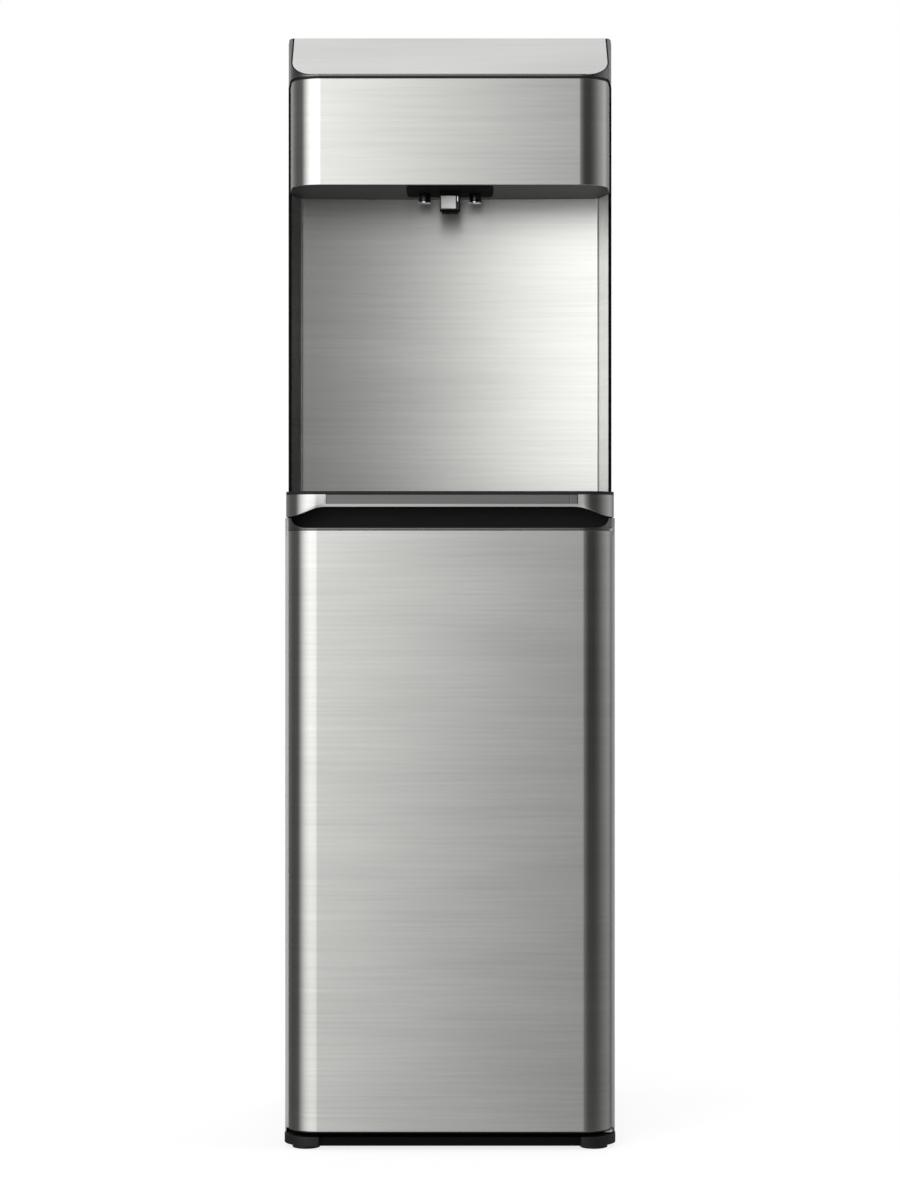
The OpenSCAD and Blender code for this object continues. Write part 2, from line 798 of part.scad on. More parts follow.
// Plastic door moulding: front wall, rim, ribs and the pin sockets
module door_liner() {
    inset = skin_t + fit_gap;
    h = door_half_w - inset;
    back = door_back - 2 - fit_gap;
    inner = inset + wall_t;
    color(dark_color) difference() {
        union() {
            difference() {
                prism(front_outline(h, front_y + inset, back, corner_r - inset),
                    door_panel_z, door_panel_top);
                prism(front_outline(h - wall_t, front_y + inner, back + 1, corner_r - inner),
                    door_panel_z + wall_t, door_panel_top - wall_t);
            }
            prism(front_outline(door_half_w, front_y, back, corner_r), door_z, door_panel_z);
            for (i = [1:3]) translate([0, 0, door_z + i * (door_top - door_z) / 4])
                prism(front_outline(h, front_y + inset + 1, back, corner_r - inset), 0, wall_t);
            intersection() {
                prism(front_outline(h, front_y + inset, back, corner_r - inset),
                    door_panel_z - eps, door_panel_top);
                for (z = [door_panel_z - eps, door_panel_top - pin_len - 4])
                    span([hinge_x - boss_r, hinge_y - boss_r, z], [half_w, back, z + pin_len + 4]);
            }
        }
        translate([hinge_x, hinge_y, door_z - 1]) cylinder(h = pin_len + 1.6, r = pin_r + run_gap);
        translate([hinge_x, hinge_y, door_panel_top - pin_len - 0.6])
            cylinder(h = pin_len + 2, r = pin_r + run_gap);
    }
}

// Flat plate that closes the door's back
module door_back_plate() {
    color(dark_color) span([-door_half_w + 1, door_back - 2, door_panel_z],
        [door_half_w - 1, door_back, door_panel_top]);
}

// Black cap along the door's top, rising to a horn at each corner and cut away where the hinge arm passes
module door_top_cap() {
    horn = [for (i = [0:10]) let (a = 90 * i / 10)
        [horn_in + (horn_out - horn_in) * sin(a), door_top + horn_h * (1 - cos(a))]];
    profile = concat(
        [[-door_half_w, door_panel_top], [door_half_w, door_panel_top], [door_half_w, door_top + horn_h]],
        [for (i = [10:-1:0]) horn[i]],
        [for (i = [0:10]) [-horn[i][0], horn[i][1]]],
        [[-door_half_w, door_top + horn_h]]);
    sweep_h = 1 + fit_gap + hinge_arm_t + fit_gap;
    color(dark_color) difference() {
        intersection() {
            prism(front_outline(door_half_w, front_y, door_back, corner_r),
                door_panel_top, door_top + horn_h);
            front_prism(profile, front_y - 1, door_back + 1);
        }
        translate([0, 0, door_panel_top - 1]) {
            translate([hinge_x, hinge_y, 0]) cylinder(h = sweep_h, r = boss_r + 1);
            span([hinge_x - boss_r - 1, hinge_y, 0], [half_w, door_back + 1, sweep_h]);
            span([hinge_x - 2, hinge_y - 1.6 * boss_r, 0], [half_w, hinge_y + 1, sweep_h]);
        }
    }
}

// Hinge brackets on the base and under the deck, each with a pin in the door
module door_hinges() {
    color(steel_color) {
        hinge_arm(door_z - 2 * fit_gap - hinge_arm_t);
        translate([hinge_x, hinge_y, door_z - 2 * fit_gap - hinge_arm_t])
            cylinder(h = pin_len + hinge_arm_t, r = pin_r);
        hinge_arm(mid_deck_top);
        translate([hinge_x, hinge_y, mid_deck_top - pin_len]) cylinder(h = pin_len + 1, r = pin_r);
        span([hinge_x - boss_r, case_y + sheet_t + fit_gap, base_top],
            [hinge_x + boss_r, recess_y - 1, door_z - 2 * fit_gap]);
    }
}

// Flat arm that carries a pin in front of the cabinet
module hinge_arm(z) {
    translate([0, 0, z]) {
        translate([hinge_x, hinge_y, 0]) cylinder(h = hinge_arm_t, r = boss_r);
        span([hinge_x - boss_r, hinge_y, 0], [hinge_x + boss_r, recess_y - 1, hinge_arm_t]);
    }
}

// Magnet block under the deck that holds the door shut
module door_magnet() {
    color(dark_color) span([-half_w + 20, door_back + 1, mid_deck_z - 16],
        [-half_w + 20 + catch_w, door_back + 20, mid_deck_z - fit_gap]);
}

// Steel plate on the door's back that the magnet grips
module catch_plate() {
    color(steel_color) span([-half_w + 20, door_back, mid_deck_z - 16],
        [-half_w + 20 + catch_w, door_back + 0.8, mid_deck_z - 3]);
}

// Filter manifold: a wall plate with two bayonet heads joined by arms
module filter_manifold() {
    plate_y0 = bay_back_y - manifold_plate_t;
    color("white") difference() {
        union() {
            span([-filter_x - filter_r, plate_y0, manifold_z - manifold_margin],
                [filter_x + filter_r, bay_back_y - fit_gap, manifold_z + head_block_h + manifold_margin]);
            for (x = [-filter_x, filter_x]) {
                translate([x, filter_y, manifold_z]) cylinder(h = head_block_h, r = filter_r - 4);
                span([x - 14, filter_y, manifold_z + 4], [x + 14, plate_y0, manifold_z + head_block_h - 4]);
            }
        }
        for (x = [-filter_x, filter_x])
            translate([x, filter_y, manifold_z - 1]) cylinder(h = neck_len + 2, r = neck_r + fit_gap);
    }
}

// Filter cartridge with a domed foot and a neck that turns in its bayonet head
module filter_cartridge(x) {
    r = filter_r;
    z1 = filter_top;
    z0 = z1 - filter_len;
    color("white") translate([x, filter_y, 0]) rotate_extrude() polygon(concat(
        [[0, z0]],
        arc([r - 12, z0 + 12], 12, 270, 360, 8),
        [[r, z1 - 10], [r - 4, z1], [neck_r, z1], [neck_r, z1 + neck_len], [0, z1 + neck_len]]));
}

module sediment_filter() {
    filter_cartridge(-filter_x);
}

module carbon_filter() {
    filter_cartridge(filter_x);
}

// Solenoid valve that shuts the supply, on the bay's back wall
module inlet_valve() {
    y = bay_back_y - fit_gap;
    color("ivory") {
        span([inlet_x - 14, y - 34, valve_z], [inlet_x + 14, y, valve_z + 26]);
        translate([inlet_x, y - 17, valve_z + 26]) cylinder(h = 26, r = 11);
    }
}

// Water tubes: supply to the valve, through the filters, up to the tanks and on to the outlets
module water_tubes() {
    r = water_tube_r;
    y = bay_back_y - 17;
    top = manifold_z + head_block_h;
    low_bend = top + 14;
    high_bend = top + 24;
    left = -filter_x - filter_r - 8;
    over = cold_top + 20;
    cold_neck = tank_z + cold_h + tank_neck_h;
    hot_neck = tank_z + hot_h + tank_neck_h;
    color("whitesmoke") {
        pipe([[inlet_x, rear_panel_y - 18, inlet_h], [inlet_x, y, inlet_h], [inlet_x, y, valve_z]], r);
        pipe([[inlet_x + 14, y, valve_z + 12], [left, y, valve_z + 12], [left, y, high_bend],
            [-filter_x, y, high_bend], [-filter_x, filter_y, high_bend], [-filter_x, filter_y, top]], r);
        pipe([[-filter_x + 12, filter_y, top], [-filter_x + 12, filter_y, low_bend],
            [filter_x - 12, filter_y, low_bend], [filter_x - 12, filter_y, top]], r);
        pipe([[filter_x, filter_y, top], [filter_x, filter_y, high_bend], [riser_x, filter_y, high_bend],
            [riser_x, riser_y, high_bend], [riser_x, riser_y, over], [cold_x, riser_y, over],
            [cold_x, tank_y, over], [cold_x, tank_y, cold_neck]], r);
        outlet_tube([riser_x, riser_y, over], 0, 42);
        outlet_tube([cold_x, tank_y, over], valve_x, 28);
        outlet_tube([hot_x, tank_y, hot_neck], -valve_x, 14);
        link_tube(-valve_x, -nozzle_x, nozzle_y, barb_top);
        link_tube(0, 0, spout_y, valve_seat - run_gap);
        link_tube(valve_x, nozzle_x, nozzle_y, barb_top);
    }
}

// Short tube from a dispensing valve to its outlet
module link_tube(x0, x1, y1, z1) {
    z = valve_seat + 14;
    y0 = valve_y + valve_d / 2 + run_gap;
    pipe(path([[x0, y0, z], [x0, y1, z], [x1, y1, z], [x1, y1, z1]]), water_tube_r);
}

// Tube from a tank up over the alcove and down on a dispensing valve
module outlet_tube(start, x, lift) {
    low = valve_seat + valve_h;
    z = low + lift;
    pipe([start, [start[0], start[1], z], [x, start[1], z], [x, valve_y, z], [x, valve_y, low]],
        water_tube_r);
}

module cold_tank() {
    color(steel_color) translate([cold_x, tank_y, tank_z]) tank(cold_r, cold_h);
}

// Tank with a neck on its lid, open inside
module tank(r, h) {
    bore = tank_neck_r - 2;
    rotate_extrude() polygon([[0, 0], [r, 0], [r, h], [tank_neck_r, h], [tank_neck_r, h + tank_neck_h],
        [bore, h + tank_neck_h], [bore, h - tank_wall], [r - tank_wall, h - tank_wall],
        [r - tank_wall, tank_wall], [0, tank_wall]]);
}

// Cooling jacket round the chilled tank
module evaporator() {
    inner = cold_r + fit_gap;
    h = cold_h - 3 * jacket_margin;
    color("peru") translate([cold_x, tank_y, tank_z + jacket_margin]) rotate_extrude()
        polygon([[inner, 0], [inner + jacket_t, 0], [inner + jacket_t, h], [inner, h]]);
}

// Foam shells round both tanks
module tank_insulation() {
    color("white") {
        foam_shell(cold_x, cold_foam_r, cold_r + jacket_t + 2 * fit_gap, cold_h);
        foam_shell(hot_x, hot_foam_r, hot_r + hot_band_t + 2 * fit_gap, hot_h);
    }
}

// A foam pot with a lid that has a hole for the tank's neck
module foam_shell(x, outer, inner, h) {
    top = foam_t + h;
    hole = tank_neck_r + 2;
    translate([x, tank_y, mid_deck_top]) {
        rotate_extrude() polygon([[0, 0], [outer, 0], [outer, top], [inner, top],
            [inner, foam_t - fit_gap], [0, foam_t - fit_gap]]);
        rotate_extrude() polygon([[hole, top + foam_lid_gap], [outer, top + foam_lid_gap],
            [outer, top + foam_t], [hole, top + foam_t]]);
    }
}

module hot_tank() {
    color(steel_color) translate([hot_x, tank_y, tank_z]) tank(hot_r, hot_h);
}

// Heating band clamped round the heated tank
module heater_band() {
    inner = hot_r + fit_gap;
    outer = inner + hot_band_t;
    color("dimgray") translate([hot_x, tank_y, tank_z + jacket_margin]) rotate_extrude()
        polygon([[inner, 0], [outer, 0], [outer, hot_band_h], [inner, hot_band_h]]);
}

// Hermetic compressor: can with a domed top on a base plate, and its pump inside
module compressor() {
    r = compressor_r;
    h = compressor_h;
    t = 4;
    dome = 24;
    color(dark_color) translate([0, compressor_y, compressor_z]) {
        difference() {
            span([-mount_x - 12, -mount_y - 12, 0], [mount_x + 12, mount_y + 12, plate_t]);
            for (x = [-mount_x, mount_x], y = [-mount_y, mount_y])
                translate([x, y, -1]) cylinder(h = plate_t + 2, r = 4.5);
        }
        translate([0, 0, plate_t]) rotate_extrude() polygon(concat(
            [[r - t, 0], [r, 0]],
            arc([r - dome, h - dome], dome, 0, 90, 8),
            [[0, h], [0, h - t]],
            arc([r - dome, h - dome], dome - t, 90, 0, 8)));
        translate([0, 0, plate_t]) cylinder(h = h - 40, r = r - 20);
    }
}

// Rubber grommet and bolt under each corner of the compressor's base plate
module compressor_mounts() {
    color([0.15, 0.15, 0.15]) for (x = [-mount_x, mount_x], y = [-mount_y, mount_y])
        translate([x, compressor_y + y, base_top]) {
            cylinder(h = mount_h, r = 8);
            translate([0, 0, mount_h]) cylinder(h = plate_t + 1, r = 4.2);
            translate([0, 0, mount_h + plate_t + 0.2]) cylinder(h = 3, r = 7.5);
        }
}

// Serpentine condenser tube behind the rear panel
module condenser_coil() {
    color(dark_color) {
        for (i = [0:run_count - 1])
            translate([-condenser_half_w, coil_y, condenser_z + i * run_pitch])
                rotate([0, 90, 0]) cylinder(h = 2 * condenser_half_w, r = tube_r, $fn = 24);
        for (i = [0:run_count - 2]) let (side = i % 2 == 0 ? 1 : -1)
            translate([side * condenser_half_w, coil_y, condenser_z + (i + 0.5) * run_pitch])
                rotate([90, side * 90, 0])
                rotate_extrude(angle = 180) translate([run_pitch / 2, 0]) circle(tube_r, $fn = 24);
        condenser_tail(condenser_z);
        condenser_tail(condenser_top_z);
    }
}

// End of the coil, turned forward through the rear panel
module condenser_tail(z) {
    translate([-condenser_half_w, coil_y, z]) sphere(tube_r * 1.2, $fn = 24);
    rod([-condenser_half_w, tail_y, z], [-condenser_half_w, coil_y, z], tube_r);
}

// Upright wires welded to the coil, and the straps that hold it off the rear panel
module condenser_grille() {
    over = 12;
    color(dark_color) {
        for (i = [0:wire_count - 1])
            translate([-condenser_half_w + 2 * condenser_half_w * (i + 0.5) / wire_count,
                coil_y + tube_r + wire_r - weld, condenser_z - over])
                cylinder(h = condenser_top_z - condenser_z + 2 * over, r = wire_r, $fn = 16);
        for (x = [-strap_x, strap_x], z = [condenser_z, condenser_top_z])
            translate([x, 0, z - tube_r - 2.2]) {
                span([-7, rear_face_y, 0], [7, coil_y + tube_r - 0.5, 2]);
                span([-7, rear_face_y, -12], [7, rear_face_y + 1.5, 0]);
            }
    }
}

// Copper tubes: hot gas to the condenser, through the drier to the jacket, and back to the compressor
module refrigerant_tubes() {
    r = tube_r;
    x = -condenser_half_w;
    side = -compressor_r - fit_gap;
    lid_top = cold_top + fit_gap;
    line_z = lid_top + drier_r + 14;
    line_y = tail_y - 2 * r;
    drop_y = tank_y + 30;
    enter_z = tank_z + jacket_margin + 40;
    foam_edge = cold_x - sqrt(pow(cold_foam_r, 2) - pow(suction_y - tank_y - r, 2)) - fit_gap;
    color("peru") {
        pipe([[side, compressor_y, can_side_z], [x, compressor_y, can_side_z], [x, tail_y - 6, can_side_z],
            [x, tail_y - 6, condenser_z], [x, tail_y, condenser_z]], r);
        pipe(path([[x, tail_y, condenser_top_z], [x, line_y, condenser_top_z], [x, line_y, line_z],
            [x, drop_y, line_z], [x, drop_y, lid_top]]), r);
        translate([x, line_y - 8, line_z]) rotate([90, 0, 0]) cylinder(h = drier_len, r = drier_r);
        pipe([[side, compressor_y, can_side_z - 20], [suction_x, compressor_y, can_side_z - 20],
            [suction_x, suction_y, can_side_z - 20], [suction_x, suction_y, enter_z],
            [foam_edge, suction_y, enter_z]], r);
    }
}

// Push-fit inlet: a hexagon outside the rear panel and a threaded body through it
module inlet_fitting() {
    color("white") translate([inlet_x, 0, inlet_h]) rotate([-90, 0, 0]) difference() {
        union() {
            translate([0, 0, rear_face_y + 0.1]) cylinder(h = 6, r = 11, $fn = 6);
            translate([0, 0, rear_panel_y - 18]) cylinder(h = 36, r = 8);
            translate([0, 0, rear_panel_y - 8]) cylinder(h = 7.7, r = 11, $fn = 6);
        }
        translate([0, 0, rear_panel_y]) cylinder(h = 40, r = supply_tube_d / 2 + 0.03);
    }
}

// Drain spout through the rear panel
module drain_outlet() {
    color("white") translate([drain_x, 0, drain_h]) rotate([-90, 0, 0]) difference() {
        union() {
            translate([0, 0, rear_face_y + 0.1]) cylinder(h = 3, r = 11);
            translate([0, 0, rear_panel_y - 22]) cylinder(h = 40, r = 8);
            translate([0, 0, rear_panel_y - 6]) cylinder(h = 5.7, r = 11, $fn = 6);
        }
        translate([0, 0, rear_panel_y - 23]) cylinder(h = 50, r = 5);
    }
}

// Rubber cap on the drain spout
module drain_cap() {
    y0 = rear_face_y + 3.6;
    color("dimgray") translate([drain_x, 0, drain_h]) rotate([-90, 0, 0]) difference() {
        translate([0, 0, y0]) cylinder(h = 17, r = 10.5);
        translate([0, 0, y0 - 1]) cylinder(h = 14.6, r = 8 + run_gap);
    }
}

// Frames of the two rear switches
module switch_bezels() {
    w = rocker_w / 2;
    l = rocker_len / 2;
    color(dark_color) for (x = [-switch_x, switch_x]) translate([x, 0, switch_h]) difference() {
        union() {
            span([-w - 2.2, rear_panel_y - 14, -l - 2.2], [w + 2.2, rear_face_y, l + 2.2]);
            span([-w - 4, rear_face_y + 0.1, -l - 4], [w + 4, rear_face_y + 2.5, l + 4]);
            span([-w - 2.2, rear_face_y - 0.1, -l - 2.2], [w + 2.2, rear_face_y + 1, l + 2.2]);
        }
        span([-w - fit_gap, rear_panel_y - 12, -l - fit_gap], [w + fit_gap, rear_face_y + 3, l + fit_gap]);
    }
}

// Rocker that tilts about a level axis, drawn as seen from the side
module rocker(x) {
    l = rocker_len / 2 - 1.4;
    y = rear_face_y - 3;
    profile = [[0, -l], [rocker_r - 4, -l], [rocker_r - 5.5, 0], [rocker_r - 4, l], [0, l],
        [-5, 3], [-5, -3]];
    translate([x, y, switch_h]) rotate([-rocker_tilt, 0, 0]) difference() {
        union() {
            side_prism(profile, rocker_w);
            rotate([0, 90, 0]) cylinder(h = rocker_w, r = 3, center = true);
        }
        rotate([0, 90, 0]) cylinder(h = rocker_w + 2, r = 1.2, center = true);
    }
}

module hot_switch() {
    color("red") rocker(-switch_x);
}

module cold_switch() {
    color("green") rocker(switch_x);
}

// Gland that the supply cord enters by
module cord_gland() {
    color(dark_color) translate([gland_x, 0, gland_h]) rotate([-90, 0, 0]) difference() {
        union() {
            translate([0, 0, rear_face_y + 0.1]) cylinder(h = 7, r = 10.5);
            translate([0, 0, rear_panel_y - 8]) cylinder(h = 16, r = 8);
            translate([0, 0, rear_panel_y - 4]) cylinder(h = 3.7, r = 10.5);
        }
        translate([0, 0, rear_panel_y - 10]) cylinder(h = 30, r = cord_r);
    }
}

// Screws that hold the rear panel to the side panels
module cabinet_screws() {
    color("gray") for (x = [-screw_x, screw_x], z = screw_levels)
        translate([x, rear_panel_y, z]) rotate([-90, 0, 0]) {
            cylinder(h = sheet_t + 0.1, r = screw_r);
            translate([0, 0, sheet_t + 0.1]) cylinder(h = 2, r = 3.5);
        }
}

base_pan();
foot(-foot_x, foot_front_y);  // foot_front_left
foot(foot_x, foot_front_y);  // foot_front_right
foot(-foot_x, foot_rear_y);  // foot_rear_left
foot(foot_x, foot_rear_y);  // foot_rear_right
left_side_panel();
right_side_panel();
rear_panel();
edge_trims();
mid_deck();
bay_liner();
head_frame();
head_front_panel();
head_underside();
nozzle_plate();
hot_nozzle();
cold_nozzle();
spout_sleeve();
control_fascia();
top_trim();
top_cover();
touch_board();
dispense_valves();
alcove_liner();
shelf_housing();
shelf_band();
drip_tray();
tray_fascia();
drip_grate();
door_panel();
door_liner();
door_back_plate();
door_top_cap();
door_hinges();
door_magnet();
catch_plate();
filter_manifold();
sediment_filter();
carbon_filter();
inlet_valve();
water_tubes();
cold_tank();
evaporator();
tank_insulation();
hot_tank();
heater_band();
compressor();
compressor_mounts();
condenser_coil();
condenser_grille();
refrigerant_tubes();
inlet_fitting();
drain_outlet();
drain_cap();
switch_bezels();
hot_switch();
cold_switch();
cord_gland();
cabinet_screws();
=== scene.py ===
"""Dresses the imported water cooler: brushed steel, plastic mouldings and what shows behind them."""

import json
import math

import bmesh
import bpy
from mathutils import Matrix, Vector

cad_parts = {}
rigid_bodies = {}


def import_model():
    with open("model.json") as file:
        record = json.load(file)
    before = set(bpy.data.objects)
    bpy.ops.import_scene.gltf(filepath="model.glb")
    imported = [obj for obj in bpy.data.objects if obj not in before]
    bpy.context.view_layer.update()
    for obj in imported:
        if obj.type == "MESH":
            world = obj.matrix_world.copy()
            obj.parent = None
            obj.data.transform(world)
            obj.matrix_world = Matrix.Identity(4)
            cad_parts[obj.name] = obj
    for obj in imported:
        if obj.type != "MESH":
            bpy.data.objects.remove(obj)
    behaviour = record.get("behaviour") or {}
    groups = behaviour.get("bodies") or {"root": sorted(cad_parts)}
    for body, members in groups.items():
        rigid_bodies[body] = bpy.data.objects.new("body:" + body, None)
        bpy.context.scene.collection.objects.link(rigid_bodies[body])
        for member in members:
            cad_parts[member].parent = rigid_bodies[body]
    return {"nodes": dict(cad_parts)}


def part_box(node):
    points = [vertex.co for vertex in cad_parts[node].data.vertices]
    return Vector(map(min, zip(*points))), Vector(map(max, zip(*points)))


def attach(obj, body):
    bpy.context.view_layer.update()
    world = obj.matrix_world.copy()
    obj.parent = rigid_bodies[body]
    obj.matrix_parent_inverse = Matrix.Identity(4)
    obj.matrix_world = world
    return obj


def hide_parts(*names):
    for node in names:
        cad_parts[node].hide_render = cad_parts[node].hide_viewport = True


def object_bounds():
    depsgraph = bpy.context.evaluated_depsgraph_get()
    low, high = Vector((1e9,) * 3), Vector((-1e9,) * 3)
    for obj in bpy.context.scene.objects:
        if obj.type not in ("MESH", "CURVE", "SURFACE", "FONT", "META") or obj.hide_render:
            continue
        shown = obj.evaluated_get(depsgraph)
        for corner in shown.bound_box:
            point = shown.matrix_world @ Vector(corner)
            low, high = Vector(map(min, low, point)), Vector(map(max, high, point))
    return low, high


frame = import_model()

bl_info = {
    "name": "Bottleless Water Cooler",
    "version": (1, 0, 0),
    "blender": (4, 5, 0),
    "location": "View3D > Sidebar > Cooler",
    "description": "Models and finishes a floor-standing water cooler round its packed CAD frame",
    "category": "Object",
}

MM = 0.001
CAD_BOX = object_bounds()

# How far apart two places may be and still count as the same
HAIR = 0.001 * MM

# Groups of CAD nodes with the same shape: one is modelled, and the others are copies of it
NOZZLES = ("hot_nozzle", "cold_nozzle")
CARTRIDGES = ("sediment_filter", "carbon_filter")
FEET = ("foot_front_left", "foot_front_right", "foot_rear_left", "foot_rear_right")

# Outlines of turned pieces, in millimetres in from the full radius and up from the foot
NOZZLE_OUTLINE = ((1.6, 0.6), (0.4, 0.9), (0, 1.6), (0, 8.9), (1.3, 9.0))
RIM_OUTLINE = ((1.5, 0.5), (0.9, 0), (-0.3, 0), (-0.6, 0.35), (-0.6, 0.95), (-0.2, 1.3), (1.2, 1.4))
FOOT_OUTLINE = ((1.2, 0), (0.4, 0.2), (0, 0.8), (0, 2.4), (0.5, 3.0), (2, 3.1))

# Repeats per metre along X, Y and Z of the hand-wide bands on brushed steel
WIDE_BANDS = (5, 5, 24)


def linear(hex_colour):
    """An sRGB hex colour as linear red, green and blue."""
    shares = [int(hex_colour[i : i + 2], 16) / 255 for i in (0, 2, 4)]
    return [c / 12.92 if c <= 0.04045 else ((c + 0.055) / 1.055) ** 2.4 for c in shares]


def number(name, text, default, **limits):
    """A number that a user can change."""
    return bpy.props.FloatProperty(name=name, description=text, default=default, **limits)


def size(name, text, millimetres):
    """A length that a user can change, in metres."""
    return number(name, text, millimetres * MM, unit="LENGTH", precision=5)


def colour(name, text, hex_colour):
    """A colour that a user can change."""
    return bpy.props.FloatVectorProperty(
        name=name, description=text, subtype="COLOR", min=0, max=1, default=linear(hex_colour)
    )


class CoolerSizes(bpy.types.PropertyGroup):
    """Sizes of the cooler's visible pieces."""

    corner_radius: size("Corner radius", "Radius of the upright front corners", 28.5)
    skin: size("Steel skin", "Thickness of the brushed steel skins", 0.9)
    edge: size("Edge round", "Radius of the small rounding on moulded edges", 0.5)
    flare: number(
        "Head flare", "How far the head opens to the rear", math.radians(5.5), unit="ROTATION"
    )
    shadow_gap: size("Shadow gap", "How much the dark gap over the head panel is widened", 0.9)
    # The black sheet under the fascia shows round it as a dark border, a painted shadow in the gap
    # round the plate
    top_round: size("Top round", "Radius of the head's two top corners", 4)
    fascia_across: size("Fascia corner width", "Width of the fascia's long lower corners", 19)
    fascia_along: size("Fascia corner length", "Length of the fascia's long lower corners", 24)
    shadow_sheet: size("Shadow sheet", "Width of the black gasket that shows round the fascia", 1.2)
    plate_round: size("Nozzle plate round", "Width of the nozzle plate's long corners", 3.2)
    alcove_fillet: size("Alcove fillet", "Radius of the bends in the alcove's lining", 1.3)
    alcove_bow: size("Alcove bow", "How far the alcove's back wall bows backwards", 5.5)
    band_wall: size("Band wall", "Thickness of the bright band round the shelf", 0.8)
    lip: size("Band lip", "Height of the bevelled lip under the bright band", 2.8)
    swoop: size("Swoop", "How far the band's lower edge drops towards the sides", 9)
    swoop_start: size("Swoop start", "Distance from the middle at which the drop starts", 116)
    swoop_end: size("Swoop end", "Distance from the middle at which the drop ends", 152)
    slot_pitch: size("Slot pitch", "Spacing of the slots across the grate", 8.2)


class CoolerColours(bpy.types.PropertyGroup):
    """Colours of the cooler's finishes."""

    steel: colour("Brushed steel", "Flat steel skins", "D6D6D3")
    bright: colour("Bright steel", "Fascia, band and spout face", "DADAD8")
    tray: colour("Tray front", "Darker steel strip on the drip tray", "7F7F7E")
    black: colour("Black plastic", "Mouldings", "18181A")
    underside: colour("Dark grey plastic", "Underside of the head", "2B2B2C")
    trim: colour("Dark trim", "Border of the sloping fascia", "707070")
    paint: colour("Side paint", "Powder coat of the side panels", "B4B5B5")
    zinc: colour("Zinc", "Zinc-coated sheets", "C0C3C5")
    white: colour("White plastic", "Filters, fittings and valves", "E8E7E2")


class StudioSettings(bpy.types.PropertyGroup):
    """Camera and light."""

    camera_distance: size("Camera distance", "From the camera to the middle of the plan", 2975)
    camera_height: size("Camera height", "Height of the level camera", 512)
    lens: number("Lens", "Focal length in millimetres", 90, unit="CAMERA", min=20, max=200)
    key: number("Key light", "Power of the soft key light in watts", 30, unit="POWER", min=0)
    fill: number("Fill lights", "Power of each fill light in watts", 45, unit="POWER", min=0)
    surround: number("Surround", "Strength of the soft boxes all round", 2.9, min=0)


# Materials


def node(tree, kind, inputs=(), stops=(), **settings):
    """Adds a node with its settings, its inputs and a ramp's stops.

    An input is a value, a socket to link, or a node whose first output is linked."""
    made = tree.nodes.new(kind)
    for name, value in settings.items():
        setattr(made, name, value)
    for name, value in dict(inputs).items():
        if isinstance(value, bpy.types.Node):
            value = value.outputs[0]
        if isinstance(value, bpy.types.NodeSocket):
            tree.links.new(value, made.inputs[name])
        else:
            made.inputs[name].default_value = value
    for i, (place, value) in enumerate(stops):
        stop = made.color_ramp.elements[i] if i < 2 else made.color_ramp.elements.new(place)
        stop.position = place
        stop.color = (value, value, value, 1)
    return made


def begin_material(name, **sockets):
    """A material with one Principled shader, its sockets set."""
    material = bpy.data.materials.new(name)
    material.use_nodes = True
    tree = material.node_tree
    tree.nodes.clear()
    inputs = {key.replace("_", " "): value for key, value in sockets.items()}
    shader = node(tree, "ShaderNodeBsdfPrincipled", inputs)
    node(tree, "ShaderNodeOutputMaterial", {"Surface": shader})
    return material, tree, shader


def grained(tree, shader, base, spread, scale, detail, roughness, bump=0, cloud=0):
    """Feeds one stretched noise to the colour, the roughness and the bump of a shader.

    spread is the share by which the colour gets darker and lighter. scale is in repeats per metre
    along X, Y and Z, and bump is a depth in metres. cloud is the share of a second, wide noise."""
    place = node(tree, "ShaderNodeTexCoord").outputs["Object"]
    lines = node(tree, "ShaderNodeMapping", {"Vector": place, "Scale": scale})
    noise = node(tree, "ShaderNodeTexNoise", {"Vector": lines, "Scale": 1.0, "Detail": detail})
    if cloud:
        wide = node(tree, "ShaderNodeMapping", {"Vector": place, "Scale": WIDE_BANDS})
        bands = node(tree, "ShaderNodeTexNoise", {"Vector": wide, "Scale": 1.0, "Detail": 1.0})
        noise = node(tree, "ShaderNodeMix", {0: cloud, 2: noise, 3: bands})
    dark = [c * (1 - spread) for c in base]
    light = [min(1, c * (1 + spread)) for c in base]
    tones = {0: noise, 6: (*dark, 1), 7: (*light, 1)}
    mixed = node(tree, "ShaderNodeMix", tones, data_type="RGBA")
    smooth, rough = roughness
    # The noise seldom leaves the span from 0.3 to 0.7
    spans = {"From Min": 0.3, "From Max": 0.7, "To Min": smooth, "To Max": rough}
    gloss = node(tree, "ShaderNodeMapRange", {"Value": noise, **spans})
    tree.links.new(mixed.outputs[2], shader.inputs["Base Color"])
    tree.links.new(gloss.outputs[0], shader.inputs["Roughness"])
    if bump:
        relief = node(tree, "ShaderNodeBump", {"Height": noise, "Strength": 0.6, "Distance": bump})
        tree.links.new(relief.outputs[0], shader.inputs["Normal"])


def brushed_steel(name, base, grain, roughness, uv="", stretch=0.8):
    """Stainless steel, belt-brushed, which stretches each reflection across the grain."""
    material, tree, shader = begin_material(name, Metallic=1.0, Anisotropic=stretch)
    if uv:
        tangent = node(tree, "ShaderNodeTangent", direction_type="UV_MAP", uv_map=uv)
    else:
        tangent = node(tree, "ShaderNodeTangent", direction_type="RADIAL", axis="Z")
        # A quarter turn, from round the Z axis to along it
        shader.inputs["Anisotropic Rotation"].default_value = 0.25
    tree.links.new(tangent.outputs[0], shader.inputs["Tangent"])
    # More change of roughness than this would cancel the change of colour
    span = (roughness - 0.003, roughness + 0.003)
    grained(tree, shader, base, 0.17, grain, 2, span, cloud=0.55)
    return material


